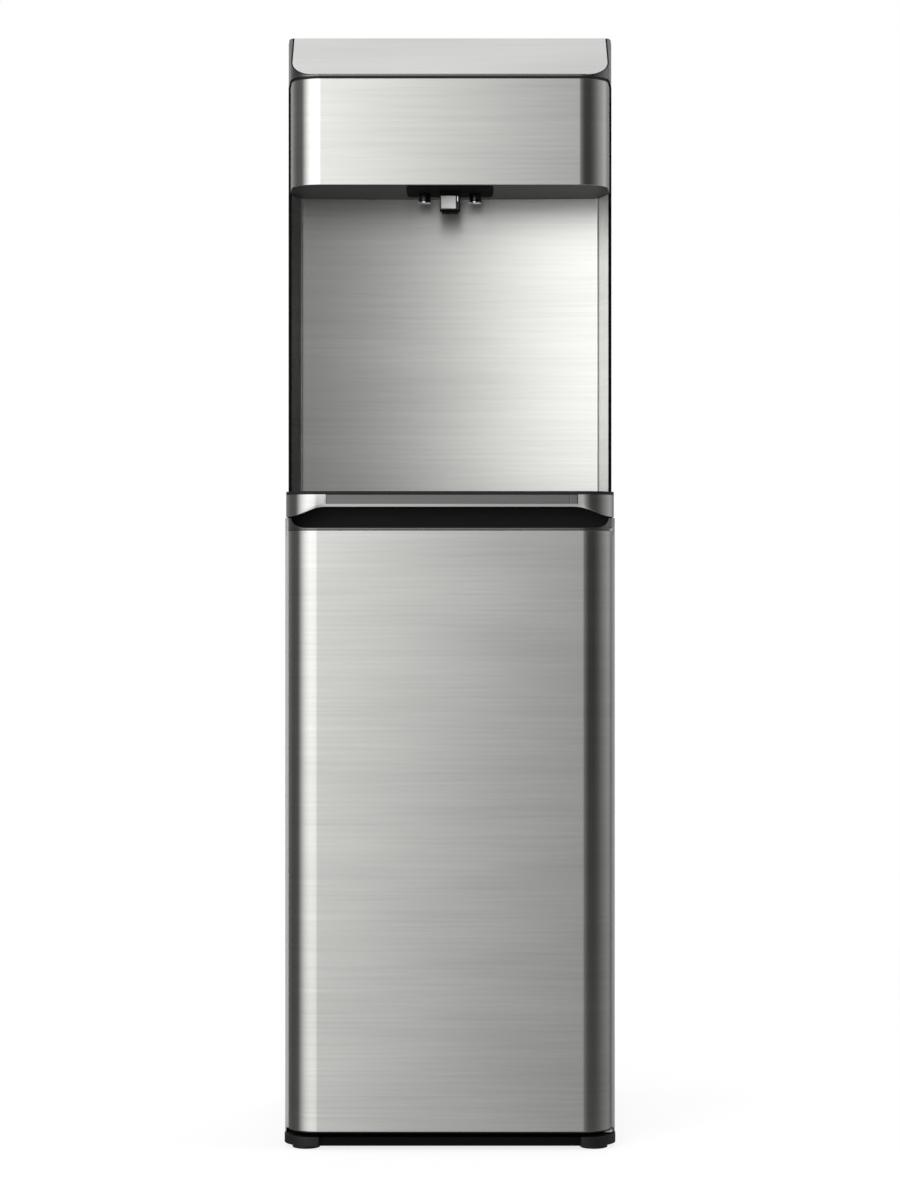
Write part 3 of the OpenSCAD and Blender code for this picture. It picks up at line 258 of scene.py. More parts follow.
def moulded_plastic(name, base, roughness, grit_mm, depth_mm, shine=0.5):
    """Injection-moulded plastic with the fine even texture of its mould."""
    material, tree, shader = begin_material(name, IOR=1.5, Specular_IOR_Level=shine)
    grit = 1 / (grit_mm * MM)
    span = (roughness - 0.05, roughness + 0.05)
    grained(tree, shader, base, 0.08, (grit, grit, grit), 2, span, depth_mm * MM)
    return material


def coated_sheet(name, base, metallic, roughness, grit_mm, depth_mm):
    """Metal, plated, painted or bare: orange peel on paint, or the soft cloudiness of zinc."""
    material, tree, shader = begin_material(name, Metallic=metallic)
    grit = 1 / (grit_mm * MM)
    span = (roughness - 0.05, roughness + 0.07)
    grained(tree, shader, base, 0.07, (grit, grit, grit), 3, span, depth_mm * MM)
    return material


def make_materials(tint):
    """Every finish of the cooler, by the name of its slot in the record or by its own."""
    # Repeats per metre along X, Y and Z. Grain is 0.03 mm wide in truth. It is drawn 0.6 to
    # 2.4 mm wide, or 0.4 to 1.7 mm where it is finer, so that it shows
    level, fine, sloping = (9, 9, 420), (14, 14, 600), (9, 420, 420)
    return {
        # Belt-brushed: level lines, with reflections drawn out upright into soft columns
        "brushed_steel": brushed_steel("Brushed stainless steel", tint.steel, level, 0.26),
        # The same across the slope, with reflections drawn out up the slope
        "sloped_steel": brushed_steel(
            "Brushed stainless steel, sloping", tint.bright, sloping, 0.4, uv="grain"
        ),
        # A lighter copy of the steel paints a highlight on the bends and the side walls; it is also
        # rougher and more stretched, so they reflect more softly
        "bend_highlight_steel": brushed_steel(
            "Brushed stainless steel, bends painted lighter", linear("ECECEA"), level, 0.42, stretch=0.9
        ),
        # Finer brushing gives a silky sheen
        "bright_steel": brushed_steel("Satin stainless steel", tint.bright, fine, 0.27),
        "tray_steel": brushed_steel("Dark satin stainless steel", tint.tray, fine, 0.38),
        # Silver flakes under a matt skin, with an orange peel of 1.2 mm
        "side_paint": coated_sheet("Silver powder coat", tint.paint, 0.35, 0.42, 1.2, 0.012),
        # Hot-dipped: pale clouds of 9 mm, without relief
        "zinc_steel": coated_sheet("Zinc-coated steel", tint.zinc, 0.55, 0.45, 9, 0),
        # Spark-eroded mould texture of 0.25 mm, drawn 0.5 mm wide so that it shows as a dull bloom
        "black_plastic": moulded_plastic("Black ABS, textured", tint.black, 0.45, 0.5, 0.02, 0.25),
        # A coarse mould texture keeps the plate and the strips black even at a grazing angle; on the
        # toe strip and the sheet under the fascia that black is painted shadow
        "matt_black": moulded_plastic(
            "Black ABS, coarse texture", linear("0B0B0C"), 0.8, 0.7, 0.03, 0.06
        ),
        # A finer texture that greys a little towards the light
        "dark_grey_plastic": moulded_plastic(
            "Dark grey ABS, satin", tint.underside, 0.5, 0.6, 0.01, 0.2
        ),
        # A polished mould: clear reflections with a faint ripple
        "gloss_black": moulded_plastic("Black ABS, polished", linear("101012"), 0.12, 4, 0.002),
        # A thin film of metal over a dark moulding mirrors like smoked glass
        "dark_gloss": coated_sheet("Metallised dark trim", tint.trim, 0.9, 0.22, 6, 0),
        # Moulded, dull and slightly grainy
        "rubber": moulded_plastic("Black rubber", linear("161616"), 0.7, 0.8, 0.03),
        # Moulded and waxy, with a soft shine
        "white_plastic": moulded_plastic("White polypropylene", tint.white, 0.35, 1.5, 0.008),
        # Extruded: milky, and softly shiny along its length
        "silicone_tube": moulded_plastic("White silicone tube", linear("DADCDC"), 0.45, 3, 0.01),
        # Deep-drawn: grey with clouds of 7 mm
        "tank_steel": coated_sheet("Drawn stainless steel", linear("C0C0BE"), 1.0, 0.32, 7, 0),
        # Steam-moulded beads of 3.5 mm show as shallow dimples
        "foam": moulded_plastic("Expanded polystyrene", linear("F0F0EC"), 0.8, 3.5, 0.25),
        # Drawn: warm, smooth and a little uneven
        "copper": coated_sheet("Drawn copper", linear("B8734A"), 1.0, 0.3, 12, 0),
        # Pressed flakes of 5 mm glint dully
        "heater": coated_sheet("Mica heater band", linear("7A7468"), 0.4, 0.5, 5, 0.02),
        # Stoved enamel: glossy, with an orange peel of 2.5 mm
        "black_paint": coated_sheet("Black enamel", linear("1A1A1A"), 0.0, 0.3, 2.5, 0.015),
        # Cured lacquer: clear green with a wet shine
        "board": moulded_plastic("Green solder mask", linear("17452A"), 0.3, 5, 0.01),
        # Polished moulds: saturated and glossy
        "red_rocker": moulded_plastic("Red polycarbonate", linear("B01C14"), 0.2, 4, 0.003),
        "green_rocker": moulded_plastic("Green polycarbonate", linear("1B7A38"), 0.2, 4, 0.003),
        # Plated: near a mirror
        "chrome": coated_sheet("Chrome plate", linear("E4E4E4"), 1.0, 0.08, 10, 0),
    }


FINISHES = {}


# Modelling


def clear():
    """Leaves edit mode with nothing selected, because an operator acts on all that is selected."""
    if bpy.context.object and bpy.context.object.mode != "OBJECT":
        bpy.ops.object.mode_set(mode="OBJECT")
    bpy.ops.object.select_all(action="DESELECT")


def choose(obj):
    """Selects one object and makes it active."""
    clear()
    obj.select_set(True)
    bpy.context.view_layer.objects.active = obj


def pick(obj, kind, test):
    """Goes into edit mode with only the vertices, edges or faces selected that pass a test."""
    choose(obj)
    bpy.ops.object.mode_set(mode="EDIT")
    bpy.ops.mesh.select_mode(type=kind)
    bpy.ops.mesh.select_all(action="DESELECT")
    mesh = bmesh.from_edit_mesh(obj.data)
    for item in {"VERT": mesh.verts, "EDGE": mesh.edges, "FACE": mesh.faces}[kind]:
        if test(item):
            item.select_set(True)
    mesh.select_flush_mode()
    bmesh.update_edit_mesh(obj.data)


def block(name, low, high):
    """A box between two corners."""
    low, high = Vector(low), Vector(high)
    clear()
    bpy.ops.mesh.primitive_cube_add(size=1, location=(low + high) / 2)
    obj = bpy.context.object
    obj.name = name
    obj.scale = high - low
    bpy.ops.object.transform_apply()
    return obj


def use(obj, kind, **settings):
    """Adds a modifier and applies it."""
    choose(obj)
    modifier = obj.modifiers.new(kind, kind)
    for name, value in settings.items():
        setattr(modifier, name, value)
    bpy.ops.object.modifier_apply(modifier=modifier.name)


def upright(edge):
    """Whether an edge runs along Z."""
    a, b = (v.co for v in edge.verts)
    return abs(a.x - b.x) < HAIR and abs(a.y - b.y) < HAIR


def stretch(obj, share):
    """Stretches a piece along Y. A corner that is rounded in between comes out longer than wide."""
    choose(obj)
    obj.scale = (1, share, 1)
    bpy.ops.object.transform_apply()


def round_uprights(obj, test, radius, steps):
    """Rounds the upright edges that pass a test."""
    pick(obj, "EDGE", lambda e: upright(e) and test(e.verts[0].co))
    bpy.ops.mesh.bevel(
        offset=radius, segments=steps, profile=0.5, affect="EDGES", clamp_overlap=False
    )
    clear()


def round_plate_corners(obj, width):
    """Rounds the corners of the nozzle plate, or of its opening, six times as long as wide."""
    hidden_flange, share = 4 * MM, 1 / 6
    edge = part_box("nozzle_plate")[1].x - hidden_flange
    stretch(obj, share)
    round_uprights(obj, lambda co: abs(abs(co.x) - edge) < MM, width, 8)
    stretch(obj, 1 / share)


def remove_faces(obj, test):
    """Deletes the faces whose normal passes a test."""
    pick(obj, "FACE", lambda f: test(f.normal))
    bpy.ops.mesh.delete(type="FACE")
    clear()


def shift(obj, test, move):
    """Moves the vertices that pass a test by what a function of their place says."""
    pick(obj, "VERT", lambda v: test(v.co))
    mesh = bmesh.from_edit_mesh(obj.data)
    for vertex in mesh.verts:
        if vertex.select:
            vertex.co += move(vertex.co)
    bmesh.update_edit_mesh(obj.data)
    clear()


def slice_at(obj, place, normal):
    """Cuts every face along a plane."""
    pick(obj, "FACE", lambda f: True)
    bpy.ops.mesh.bisect(plane_co=place, plane_no=normal)
    clear()


def cut(obj, *cutters):
    """Takes the cutters' volume out of an object."""
    for cutter in cutters:
        use(obj, "BOOLEAN", operation="DIFFERENCE", solver="EXACT", object=cutter)
        bpy.data.objects.remove(cutter)


def join(name, *objects):
    """Makes one object of several."""
    clear()
    for obj in objects:
        obj.select_set(True)
    bpy.context.view_layer.objects.active = objects[0]
    bpy.ops.object.join()
    objects[0].name = name
    return objects[0]


def copied(obj, name, move):
    """A copy of a piece, with its own mesh, moved to its place."""
    choose(obj)
    bpy.ops.object.duplicate()
    copy = bpy.context.object
    copy.name = name
    copy.location = move
    bpy.ops.object.transform_apply()
    return copy


def repeated(obj, cad_nodes, ending):
    """Pairs each of some like CAD nodes with its piece: the one at the first node, or a copy."""
    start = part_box(cad_nodes[0])[0]
    obj.name = cad_nodes[0] + ending
    copies = [
        copied(obj, cad_node + ending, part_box(cad_node)[0] - start) for cad_node in cad_nodes[1:]
    ]
    return list(zip(cad_nodes, [obj, *copies]))


def soften(obj, edge=0.0, steps=2, angle=30):
    """Rounds the sharp edges, and shades flat faces flat and curved ones smooth."""
    if edge:
        limit = math.radians(angle)
        use(obj, "BEVEL", width=edge, segments=steps, limit_method="ANGLE", angle_limit=limit)
    choose(obj)
    bpy.ops.object.shade_smooth_by_angle(angle=math.radians(40))
    use(obj, "WEIGHTED_NORMAL", keep_sharp=True)


def turned(name, centre, rings, steps=48):
    """A solid of rings, each a radius and a height above the centre, closed at both ends."""
    clear()
    centre = Vector(centre)
    radius, height = rings[0]
    start = centre + Vector((0, 0, height))
    bpy.ops.mesh.primitive_circle_add(
        vertices=steps, radius=radius, fill_type="NGON", location=start
    )
    obj = bpy.context.object
    obj.name = name
    bpy.ops.object.transform_apply()
    bpy.ops.object.mode_set(mode="EDIT")
    bpy.ops.mesh.select_all(action="SELECT")
    for wide, high in rings[1:]:
        rise = (0, 0, high - height)
        bpy.ops.mesh.extrude_region_move(TRANSFORM_OT_translate={"value": rise})
        share = wide / radius
        middle = centre + Vector((0, 0, high))
        bpy.ops.transform.resize(value=(share, share, 1), center_override=middle)
        radius, height = wide, high
    bpy.ops.mesh.select_all(action="SELECT")
    bpy.ops.mesh.normals_make_consistent(inside=False)
    clear()
    return obj


def rings_of(radius, outline):
    """Rings for a turned piece, from its outline in millimetres."""
    return [(radius - inset * MM, height * MM) for inset, height in outline]


def axis_of(cad_node):
    """The foot of a round CAD node's axis, its radius and its height."""
    low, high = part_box(cad_node)
    foot = ((low.x + high.x) / 2, (low.y + high.y) / 2, low.z)
    return foot, (high.x - low.x) / 2, high.z - low.z


def aim_rear(obj, pivot):
    """Turns a piece made along +Z about a pivot, so that it points along +Y."""
    choose(obj)
    pivot = Vector(pivot)
    turn = Vector((0, 0, 1)).rotation_difference(Vector((0, 1, 0))).to_matrix().to_4x4()
    for vertex in obj.data.vertices:
        vertex.co = pivot + turn @ (vertex.co - pivot)
    return obj


def traced(name, cad_node, edge=0.0):
    """A merged copy of a CAD node, with its coplanar triangles joined and its edges rounded."""
    choose(frame["nodes"][cad_node])
    bpy.ops.object.duplicate()
    obj = bpy.context.object
    bpy.ops.object.parent_clear(type="CLEAR_KEEP_TRANSFORM")
    obj.name = name
    obj.data.name = name
    obj.data.materials.clear()
    pick(obj, "FACE", lambda f: True)
    bpy.ops.mesh.remove_doubles(threshold=2 * HAIR)
    bpy.ops.mesh.select_all(action="SELECT")
    bpy.ops.mesh.dissolve_limited(angle_limit=math.radians(0.3))
    clear()
    soften(obj, edge)
    return obj


def place_piece(obj, cad_nodes, slot, finish="", body="cabinet"):
    """Gives a finished piece its material, named by its finish or else its slot, puts it on its
    body, and hides the CAD nodes it stands for.
    """
    obj.data.name = obj.name
    obj.data.materials.clear()
    obj.data.materials.append(FINISHES[finish or slot])
    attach(obj, body)
    if cad_nodes:
        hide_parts(*cad_nodes)


def trace_piece(cad_node, name, edge, slot, body="cabinet"):
    """A finished piece of a CAD node's own shape, with rounded edges."""
    piece = traced(name, cad_node, edge)
    place_piece(piece, [cad_node], slot, body=body)
    return piece


def dress(cad_node, finish):
    """Gives a CAD node that stays its material."""
    materials = frame["nodes"][cad_node].data.materials
    materials.clear()
    materials.append(FINISHES[finish])


def open_front(obj, radius, steps=20):
    """Makes a box a sheet round its front, with round corners, open behind, above and below."""
    front = min(v.co.y for v in obj.data.vertices)
    round_uprights(obj, lambda co: co.y < front + MM, radius, steps)
    remove_faces(obj, lambda n: n.y > 0.9 or abs(n.z) > 0.9)


def open_skin(name, cad_node, radius, wall, taper=1.0):
    """A steel skin with round front corners, open at the back, in a CAD node's box."""
    low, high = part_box(cad_node)
    obj = block(name, low, high)
    if taper != 1.0:
        pick(obj, "VERT", lambda v: v.co.y < low.y + MM)
        bpy.ops.transform.resize(value=(taper, 1, 1), center_override=(0, low.y, 0))
    open_front(obj, radius)
    use(obj, "SOLIDIFY", thickness=wall, offset=-1, use_even_offset=True)
    return obj


def corner_waste(edge, radius):
    """What a round corner takes away at the head's top, where its side is at x = edge."""
    # Half lengths along Y: the waste passes the head at both ends, and the rod passes the waste
    reach, rod_reach = 200 * MM, 250 * MM
    z = CAD_BOX[1].z - radius
    x = edge - math.copysign(radius, edge)
    left, right = sorted((x, edge + math.copysign(radius, edge)))
    waste = block("waste", (left, -reach, z), (right, reach, z + 2 * radius))
    start = (x, -rod_reach, z)
    rod = turned("rod", start, [(radius, 0), (radius, 2 * rod_reach)], 64)
    cut(waste, aim_rear(rod, start))
    return waste


def round_top(obj, edge, radius):
    """Rounds both top corners of a piece of the head that is 2 * edge wide."""
    cut(obj, corner_waste(edge, radius), corner_waste(-edge, radius))


class COOLER_OT_door(bpy.types.Operator):
    """Model the door: steel skin, black cap and mouldings."""

    bl_idname = "cooler.door"
    bl_label = "Door"

    def execute(self, context):
        sizes = context.scene.cooler_sizes
        skin = open_skin("door_skin", "door_panel", sizes.corner_radius, sizes.skin)
        soften(skin, 0.25 * MM)
        place_piece(skin, ["door_panel"], "brushed_steel", body="door")
        cap = trace_piece("door_top_cap", "door_cap", sizes.edge, "black_plastic", "door")
        cap.data.materials.append(FINISHES["dark_gloss"])
        for face in cap.data.polygons:
            # The front and the sides are polished, and the top, the underside and the rear aren't
            if abs(face.normal.z) < 0.3 and face.normal.y < 0.5:
                face.material_index = 1
        trace_piece("door_liner", "door_moulding", 0.3 * MM, "black_plastic", "door")
        trace_piece("door_back_plate", "door_back", sizes.edge, "black_plastic", "door")
        dress("catch_plate", "zinc_steel")
        dress("door_hinges", "zinc_steel")
        dress("door_magnet", "black_plastic")
        return {"FINISHED"}


class COOLER_OT_head(bpy.types.Operator):
    """Model the head: front panel, sloping fascia with its trim, inner frame and underside."""

    bl_idname = "cooler.head"
    bl_label = "Head"

    def execute(self, context):
        sizes = context.scene.cooler_sizes
        self.front(sizes)
        trim = traced("fascia_trim", "top_trim")
        top = CAD_BOX[1].z - 0.1 * MM
        corner = min((v.co for v in trim.data.vertices if v.co.z > top), key=lambda co: co.y)
        round_top(trim, abs(corner.x), sizes.top_round)
        soften(trim, 0.35 * MM)
        place_piece(trim, ["top_trim"], "dark_gloss")
        trace_piece("head_frame", "head_inner_frame", 0.3 * MM, "black_plastic")
        under = traced("head_under_cover", "head_underside")
        round_plate_corners(under, sizes.plate_round)
        soften(under, 0.3 * MM)
        place_piece(under, ["head_underside"], "dark_grey_plastic")
        self.fascia(sizes)
        dress("touch_board", "board")
        return {"FINISHED"}

    def front(self, sizes):
        """The front panel, whose sides open towards the rear, with its top lowered a little."""
        low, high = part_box("head_front_panel")
        taper = 1 - (high.y - low.y) * math.tan(sizes.flare) / high.x
        # A bevel is measured along the sides of the corner, which is wider than square
        reach = sizes.corner_radius * math.tan(math.radians(90) / 2 - sizes.flare / 2)
        panel = open_skin("head_panel", "head_front_panel", reach, sizes.skin, taper)
        drop = Vector((0, 0, -sizes.shadow_gap))
        shift(panel, lambda co: co.z > high.z - MM, lambda co: drop)
        soften(panel, 0.25 * MM)
        place_piece(panel, ["head_front_panel"], "brushed_steel")

    def fascia(self, sizes):
        """The touch fascia and the black sheet under it, whose edge is a painted shadow round the
        fascia, made level and then sloped.
        """
        low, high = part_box("control_fascia")
        slope = math.atan2(high.z - low.z, high.y - low.y)
        length = math.hypot(high.y - low.y, high.z - low.z)
        thick, sunk = 1.0 * MM, 0.25 * MM
        # The long lower corners are bevelled as circles on a shortened plate, stretched back later
        squeeze = sizes.fascia_across / sizes.fascia_along
        for name, margin, top, cad_nodes, slot, finish in (
            ("touch_fascia", sizes.shadow_sheet, 0, ["control_fascia"], "brushed_steel", "sloped_steel"),
            # The black sheet under the fascia, a painted shadow in the gap round it
            ("fascia_shadow_sheet", 0, -sunk, [], "black_plastic", "matt_black"),
        ):
            corner = (high.x - margin, length * squeeze, top)
            plate = block(name, (low.x + margin, 0, -thick), corner)
            round_uprights(plate, lambda co: co.y < MM, sizes.fascia_across - margin, 16)
            stretch(plate, 1 / squeeze)
            soften(plate, 0.2 * MM)
            grain = plate.data.uv_layers.new(name="grain")
            for loop in plate.data.loops:
                place = plate.data.vertices[loop.vertex_index].co
                grain.data[loop.index].uv = (place.y, place.x)
            plate.rotation_euler = (slope, 0, 0)
            plate.location = (0, low.y, low.z + thick * math.cos(slope))
            bpy.ops.object.transform_apply()
            place_piece(plate, cad_nodes, slot, finish)


class COOLER_OT_outlets(bpy.types.Operator):
    """Model the nozzle plate, the two side nozzles and the square centre spout."""

    bl_idname = "cooler.outlets"
    bl_label = "Outlets"

    def execute(self, context):
        plate = traced("outlet_plate", "nozzle_plate")
        round_plate_corners(plate, context.scene.cooler_sizes.plate_round)
        soften(plate, 0.5 * MM)
        place_piece(plate, ["nozzle_plate"], "black_plastic", "matt_black")
        self.nozzles()
        self.spout()
        dress("dispense_valves", "white_plastic")
        return {"FINISHED"}

    def nozzles(self):
        """The two side nozzles: a black tube with a bore, and a bright rim round its mouth."""
        foot, radius, height = axis_of(NOZZLES[0])
        rim_width, bore, bore_depth, bore_mouth = 0.6 * MM, 3 * MM, 8 * MM, 1.2 * MM
        tube_radius = radius - rim_width
        inside = [(bore, bore_depth), (bore, bore_mouth)]
        outside = rings_of(tube_radius, NOZZLE_OUTLINE)
        tube = turned("tube", foot, inside + outside + [(outside[-1][0], height)])
        soften(tube)
        rim = turned("rim", foot, rings_of(tube_radius, RIM_OUTLINE))
        soften(rim)
        tubes, rims = repeated(tube, NOZZLES, "_tube"), repeated(rim, NOZZLES, "_rim")
        for cad_node, tube in tubes:
            place_piece(tube, [cad_node], "dark_gloss", "gloss_black")
        for _, rim in rims:
            place_piece(rim, [], "dark_gloss", "chrome")

    def spout(self):
        """The square centre spout: a hollow black sleeve, a steel face and a bright pin."""
        low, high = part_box("spout_sleeve")
        wall, roof, proud = 1.97 * MM, 0.4 * MM, 0.5 * MM
        sleeve = block("spout_body", low, high)
        pick(sleeve, "FACE", lambda f: f.normal.z < -0.9)
        bpy.ops.mesh.inset(thickness=wall)
        bpy.ops.transform.translate(value=(0, 0, high.z - low.z - roof))
        clear()
        round_uprights(sleeve, lambda co: abs(co.x) > high.x - MM, 1.2 * MM, 4)
        soften(sleeve, 0.35 * MM)
        place_piece(sleeve, ["spout_sleeve"], "dark_gloss", "gloss_black")
        # The pin stands on the right, so the face stops short of it
        face = block(
            "spout_face",
            (low.x + 1.4 * MM, low.y - proud, low.z + 1.2 * MM),
            (high.x - 4.2 * MM, low.y + proud, high.z - 0.3 * MM),
        )
        pick(face, "FACE", lambda f: f.normal.y < -0.9)
        bpy.ops.mesh.inset(thickness=0.9 * MM, depth=-0.12 * MM)
        soften(face, 0.2 * MM)
        place_piece(face, [], "bright_steel")
        radius, length, point = 0.9 * MM, 5.6 * MM, 0.4 * MM
        tip = radius * 0.6
        pin = turned(
            "spout_pin",
            (high.x - 2.3 * MM, low.y - 0.2 * MM, high.z - 6 * MM),
            [(tip, 0), (radius, point), (radius, length - point), (tip, length)],
            24,
        )
        soften(pin)
        place_piece(pin, [], "dark_gloss", "chrome")


class COOLER_OT_alcove(bpy.types.Operator):
    """Model the bent steel lining of the alcove and the black strips beside it."""

    bl_idname = "cooler.alcove"
    bl_label = "Alcove"

    def execute(self, context):
        sizes = context.scene.cooler_sizes
        low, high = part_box("alcove_liner")
        bow, lean, columns = sizes.alcove_bow, 8.4 * MM, 12
        front, back = low.y, high.y - sizes.skin - bow
        mouth = high.x - sizes.skin
        rear = mouth - lean

        def at_back(co):
            return co.y > back - HAIR

        lining = block("alcove_lining", (-mouth, front, low.z), (mouth, back, high.z))
        pick(lining, "VERT", lambda v: at_back(v.co))
        bpy.ops.transform.resize(value=(rear / mouth, 1, 1), center_override=(0, back, 0))
        round_uprights(lining, at_back, sizes.alcove_fillet, 6)
        remove_faces(lining, lambda n: n.y < -0.9 or abs(n.z) > 0.9)
        flat = max(v.co.x for v in lining.data.vertices if at_back(v.co))
        for i in range(1 - columns, columns):
            slice_at(lining, (flat * i / columns, 0, 0), (1, 0, 0))
        shift(lining, at_back, lambda co: Vector((0, bow * (1 - (co.x / flat) ** 2), 0)))
        pick(lining, "FACE", lambda f: True)
        bpy.ops.mesh.flip_normals()
        clear()
        use(lining, "SOLIDIFY", thickness=sizes.skin, offset=-1, use_even_offset=True)
        soften(lining)
        place_piece(lining, ["alcove_liner"], "brushed_steel")
        lining.data.materials.append(FINISHES["bend_highlight_steel"])
        for face in lining.data.polygons:
            # The bends and the side walls take the lighter steel, a painted highlight
            if abs(face.normal.x) > 0.15:
                face.material_index = 1
        self.strips(front, mouth)
        return {"FINISHED"}

    def strips(self, front, mouth):
        """The black strips, each with a lip in front that hides the edge of the steel."""
        strips = traced("edge_strips", "edge_trims")
        low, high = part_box("alcove_liner")
        inner, outer = mouth - 0.2 * MM, high.x + 0.6 * MM
        lips = []
        for left, right in ((-outer, -inner), (inner, outer)):
            corner = (right, front - 0.02 * MM, high.z)
            lips.append(block("lip", (left, front - 0.5 * MM, low.z), corner))
        strips = join("edge_strips", strips, *lips)
        soften(strips, 0.15 * MM)
        place_piece(strips, ["edge_trims"], "black_plastic", "matt_black")


class COOLER_OT_shelf(bpy.types.Operator):
    """Model the shelf: moulding, bright band, drip tray and grate."""

    bl_idname = "cooler.shelf"
    bl_label = "Shelf"

    def execute(self, context):
        sizes = context.scene.cooler_sizes
        trace_piece("shelf_housing", "shelf_moulding", 0.4 * MM, "black_plastic")
        self.band(sizes)
        trace_piece("drip_tray", "drip_tray_well", 0.3 * MM, "black_plastic", "tray")
        self.tray_front()
        self.grate(sizes)
        return {"FINISHED"}

    def tray_front(self):
        """The steel strip on the tray, with a groove near its right end."""
        low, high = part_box("tray_fascia")
        front = block("tray_front", low, high)
        groove, wide, deep = 111.3 * MM, 0.6 * MM, 0.5 * MM
        start = (groove, low.y - MM, low.z - MM)
        cut(front, block("groove", start, (groove + wide, low.y + deep, high.z + MM)))
        soften(front, 0.15 * MM)
        place_piece(front, ["tray_fascia"], "bright_steel", "tray_steel", "tray")

    def band(self, sizes):
        """The bright band: a strip round the front whose lower edge swoops down to both sides."""
        low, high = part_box("shelf_band")
        radius, lip = sizes.corner_radius, sizes.lip
        swoop_start, swoop_end = sizes.swoop_start, sizes.swoop_end
        bottom, bevel, touch = low.z + sizes.swoop, 0.7 * MM, 0.1 * MM
        band = block("bright_band", (low.x, low.y, bottom), high)
        open_front(band, radius)
        # Cuts between the swoop's start and the round corner, so that the edge bends smoothly
        for i in range(5):
            place = swoop_start + i * 2 * MM
            slice_at(band, (place, 0, 0), (1, 0, 0))
            slice_at(band, (-place, 0, 0), (1, 0, 0))
        slice_at(band, (0, 0, bottom + lip), (0, 0, 1))

        def share(co):
            t = min(1, max(0, (abs(co.x) - swoop_start) / (swoop_end - swoop_start)))
            return (1 - math.cos(math.pi * t)) / 2

        def drop(co):
            return Vector((0, 0, -sizes.swoop * share(co)))

        def inwards(co):
            """The bevel, which fades out to the sides so that the outer corners stay sharp."""
            flat = high.x - radius
            centre = Vector((max(-flat, min(flat, co.x)), max(co.y, low.y + radius), co.z))
            return (centre - co).normalized() * bevel * (1 - share(co))

        shift(band, lambda co: co.z < bottom + lip + touch, drop)
        shift(band, lambda co: co.z < bottom + drop(co).z + touch, inwards)
        use(band, "SOLIDIFY", thickness=sizes.band_wall, offset=-1, use_even_offset=True)
        tray_low, tray_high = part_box("tray_fascia")
        gap = 0.5 * MM
        opening = block(
            "opening",
            (tray_low.x - gap, tray_low.y - MM, bottom + lip),
            (tray_high.x + gap, tray_high.y + 2 * MM, high.z + MM),
        )
        cut(band, opening)
        soften(band, 0.15 * MM, steps=1)
        place_piece(band, ["shelf_band"], "bright_steel")

    def grate(self, sizes):
        """The slotted grate: one rounded slot, copied in two columns."""
        low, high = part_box("drip_grate")
        pitch, rib, side, end = sizes.slot_pitch, 3 * MM, 8 * MM, 4 * MM
        plate = block("slotted_grate", low, high)
        round_uprights(plate, lambda co: True, 1.5 * MM, 3)
        left, front = low.x + side, low.y + end + pitch / 4
        slot = block("slot", (left, front, low.z - MM), (-rib, front + pitch / 2, high.z + MM))
        # A little under half of the slot's width, so that its ends come out round
        round_uprights(slot, lambda co: True, pitch * 0.24, 4)
        rows = int((high.y - low.y - 2 * end) / pitch + 0.5)
        moves = [(across, i * pitch, 0) for i in range(rows) for across in (0, rib - left)]
        slots = [slot] + [copied(slot, "slot", move) for move in moves[1:]]
        cut(plate, join("slots", *slots))
        soften(plate, 0.25 * MM)
        place_piece(plate, ["drip_grate"], "black_plastic", body="drip_grate")


class COOLER_OT_cabinet(bpy.types.Operator):
    """Model the cabinet's outside: sides, rear panel, cover, base and feet."""

    bl_idname = "cooler.cabinet"
    bl_label = "Cabinet"

    def execute(self, context):
        self.sides()
        trace_piece("rear_panel", "rear_sheet", 0, "zinc_steel")
        trace_piece("base_pan", "base_moulding", 0.5 * MM, "black_plastic")
        trace_piece("mid_deck", "bay_deck", 0, "zinc_steel")
        trace_piece("bay_liner", "bay_back", 0, "zinc_steel")
        self.toe_shadow_strip()
        lid = traced("top_lid", "top_cover")
        edge = max(v.co.x for v in lid.data.vertices)
        round_top(lid, edge, context.scene.cooler_sizes.top_round)
        soften(lid, 0.8 * MM)
        place_piece(lid, ["top_cover"], "black_plastic")
        foot, radius, height = axis_of(FEET[0])
        spindle = 4 * MM
        rings = rings_of(radius, FOOT_OUTLINE)
        pad = turned("pad", foot, rings + [(spindle, rings[-1][1]), (spindle, height)])
        soften(pad)
        for cad_node, pad in repeated(pad, FEET, "_pad"):
            place_piece(pad, [cad_node], "rubber", body=cad_node)
        dress("cabinet_screws", "zinc_steel")
        return {"FINISHED"}

    def sides(self):
        """The side panels, each with a narrow return over its flange, beside the door's cap."""
        sheet, reach = 1.2 * MM, 2.5 * MM
        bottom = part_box("mid_deck")[1].z - 5 * MM
        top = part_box("shelf_band")[0].z - 0.8 * MM
        outer = CAD_BOX[1].x - sheet
        inner = outer - reach
        for name, left, right in (("left_side", -outer, -inner), ("right_side", inner, outer)):
            cad_node = name + "_panel"
            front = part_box(cad_node)[0].y + 0.2 * MM
            strip = block("strip", (left, front, bottom), (right, front + sheet, top))
            panel = join(name, traced(name, cad_node, 0.35 * MM), strip)
            place_piece(panel, [cad_node], "side_paint")

    def toe_shadow_strip(self):
        """The matt black strip that closes the front of the toe recess between the feet: a painted
        shadow where the recess lies in shade.
        """
        low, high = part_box("base_pan")
        half = 128 * MM
        strip = block(
            "toe_shadow_strip",
            (-half, low.y + 3 * MM, low.z),
            (half, low.y + 12 * MM, high.z - 0.2 * MM),
        )
        soften(strip, 0.8 * MM)
        place_piece(strip, [], "black_plastic", "matt_black")


